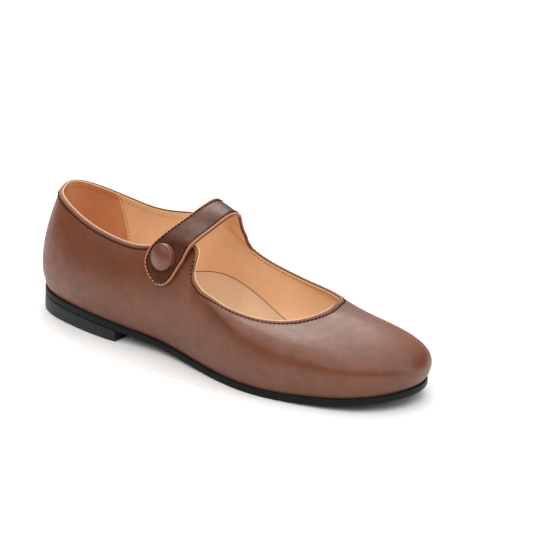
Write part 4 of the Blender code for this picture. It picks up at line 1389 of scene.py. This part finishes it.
class SHOE_OT_studio(bpy.types.Operator):
    """Set up the pale floor, the soft lamps and the camera"""

    bl_idname = "shoe.studio"
    bl_label = "Studio"

    def execute(self, context):
        """The camera stands at an azimuth, elevation and roll round its target."""
        self.add_floor(context)
        self.add_lamps(context)
        self.add_camera(context)
        return {"FINISHED"}

    def add_floor(self, context):
        """One large pale sheet just under the shoe."""
        mesh = bpy.data.meshes.new("floor")
        side, height = FLOOR_SIDE, FLOOR_HEIGHT
        corners = [(-side, -side, height), (side, -side, height), (side, side, height), (-side, side, height)]
        mesh.from_pydata(corners, [], [(0, 1, 2, 3)])
        material, tree, shader, place = new_material("pale_floor")
        cloud = noise(tree, place, 60 * MM, 2.0)
        tone = ramp(tree, cloud, 0.3, 0.7, (0.90, 0.90, 0.90), (0.92, 0.92, 0.92))
        tree.links.new(tone, shader.inputs["Base Color"])
        shader.inputs["Roughness"].default_value = 0.75
        shader.inputs["Specular IOR Level"].default_value = 0.2
        mesh.materials.append(material)
        floor = bpy.data.objects.new("floor", mesh)
        context.scene.collection.objects.link(floor)
        world = bpy.data.worlds.new("studio")
        world.use_nodes = True
        background = world.node_tree.nodes["Background"]
        background.inputs["Color"].default_value = (1.0, 1.0, 1.0, 1.0)
        background.inputs["Strength"].default_value = 0.26
        world.cycles_visibility.glossy = False
        context.scene.world = world
        context.scene.view_settings.view_transform = "Standard"
        context.scene.view_settings.look = "None"

    def add_lamps(self, context):
        """Area lamps, each turned to its aim."""
        for lamp in LAMPS:
            light = bpy.data.lights.new(lamp.name, "AREA")
            light.shape = "RECTANGLE"
            light.size = lamp.width
            light.size_y = lamp.height
            light.energy = lamp.power
            light.color = lamp.colour
            holder = bpy.data.objects.new(lamp.name, light)
            holder.location = lamp.place
            holder.visible_glossy = lamp.glossy
            aim = Vector(lamp.aim) - Vector(lamp.place)
            holder.rotation_euler = aim.to_track_quat("-Z", "Y").to_euler()
            context.scene.collection.objects.link(holder)

    def add_camera(self, context):
        """Place the camera on a sphere round its target, rolled about its own line of sight."""
        azimuth, elevation, roll = map(math.radians, (CAMERA_AZIMUTH, CAMERA_ELEVATION, CAMERA_ROLL))
        level = math.cos(elevation)
        back = Vector((math.sin(azimuth) * level, -math.cos(azimuth) * level, math.sin(elevation)))
        right = Vector((math.cos(azimuth), math.sin(azimuth), 0.0))
        up = back.cross(right)
        rolled_right = right * math.cos(roll) + up * math.sin(roll)
        rolled_up = up * math.cos(roll) - right * math.sin(roll)
        turn = Matrix((rolled_right, rolled_up, back)).transposed().to_4x4()
        lens = bpy.data.cameras.new("camera")
        lens.sensor_width = SENSOR_WIDTH
        lens.lens = FOCAL_PIXELS * SENSOR_WIDTH / IMAGE_SIDE
        lens.clip_end = 20.0
        camera = bpy.data.objects.new("camera", lens)
        place = Vector(CAMERA_TARGET) + back * CAMERA_DISTANCE
        camera.matrix_world = Matrix.Translation(place) @ turn
        context.scene.collection.objects.link(camera)
        context.scene.camera = camera


class SHOE_PT_panel(bpy.types.Panel):
    """The shoe's sizes, colours and pieces"""

    bl_idname = "SHOE_PT_panel"
    bl_label = "Mary Jane Shoe"
    bl_space_type = "VIEW_3D"
    bl_region_type = "UI"
    bl_category = "Shoe"

    def draw(self, context):
        """List the sizes and colours, then one button for each step."""
        layout = self.layout
        for group in (context.scene.shoe_sizes, context.scene.shoe_colours):
            box = layout.box()
            for name in group.bl_rna.properties.keys():
                if name not in ("rna_type", "name"):
                    box.prop(group, name)
        for step in STEPS:
            layout.operator(step.bl_idname)


STEPS = (
    SHOE_OT_outsole,
    SHOE_OT_heel,
    SHOE_OT_insole,
    SHOE_OT_upper,
    SHOE_OT_topline,
    SHOE_OT_lining,
    SHOE_OT_strap,
    SHOE_OT_button,
    SHOE_OT_studio,
)
CLASSES = (ShoeSizes, ShoeColours, *STEPS, SHOE_PT_panel)


def register():
    """Register the classes and hang the properties on the scene."""
    for each in CLASSES:
        bpy.utils.register_class(each)
    bpy.types.Scene.shoe_sizes = bpy.props.PointerProperty(type=ShoeSizes)
    bpy.types.Scene.shoe_colours = bpy.props.PointerProperty(type=ShoeColours)


def unregister():
    """Take the properties off the scene and unregister the classes."""
    del bpy.types.Scene.shoe_colours
    del bpy.types.Scene.shoe_sizes
    for each in reversed(CLASSES):
        bpy.utils.unregister_class(each)


def main():
    """Make every piece in order, then the studio."""
    register()
    bpy.ops.shoe.outsole()
    bpy.ops.shoe.heel()
    bpy.ops.shoe.insole()
    bpy.ops.shoe.upper()
    bpy.ops.shoe.topline()
    bpy.ops.shoe.lining()
    bpy.ops.shoe.strap()
    bpy.ops.shoe.button()
    bpy.ops.shoe.studio()


if __name__ == "__main__":
    main()
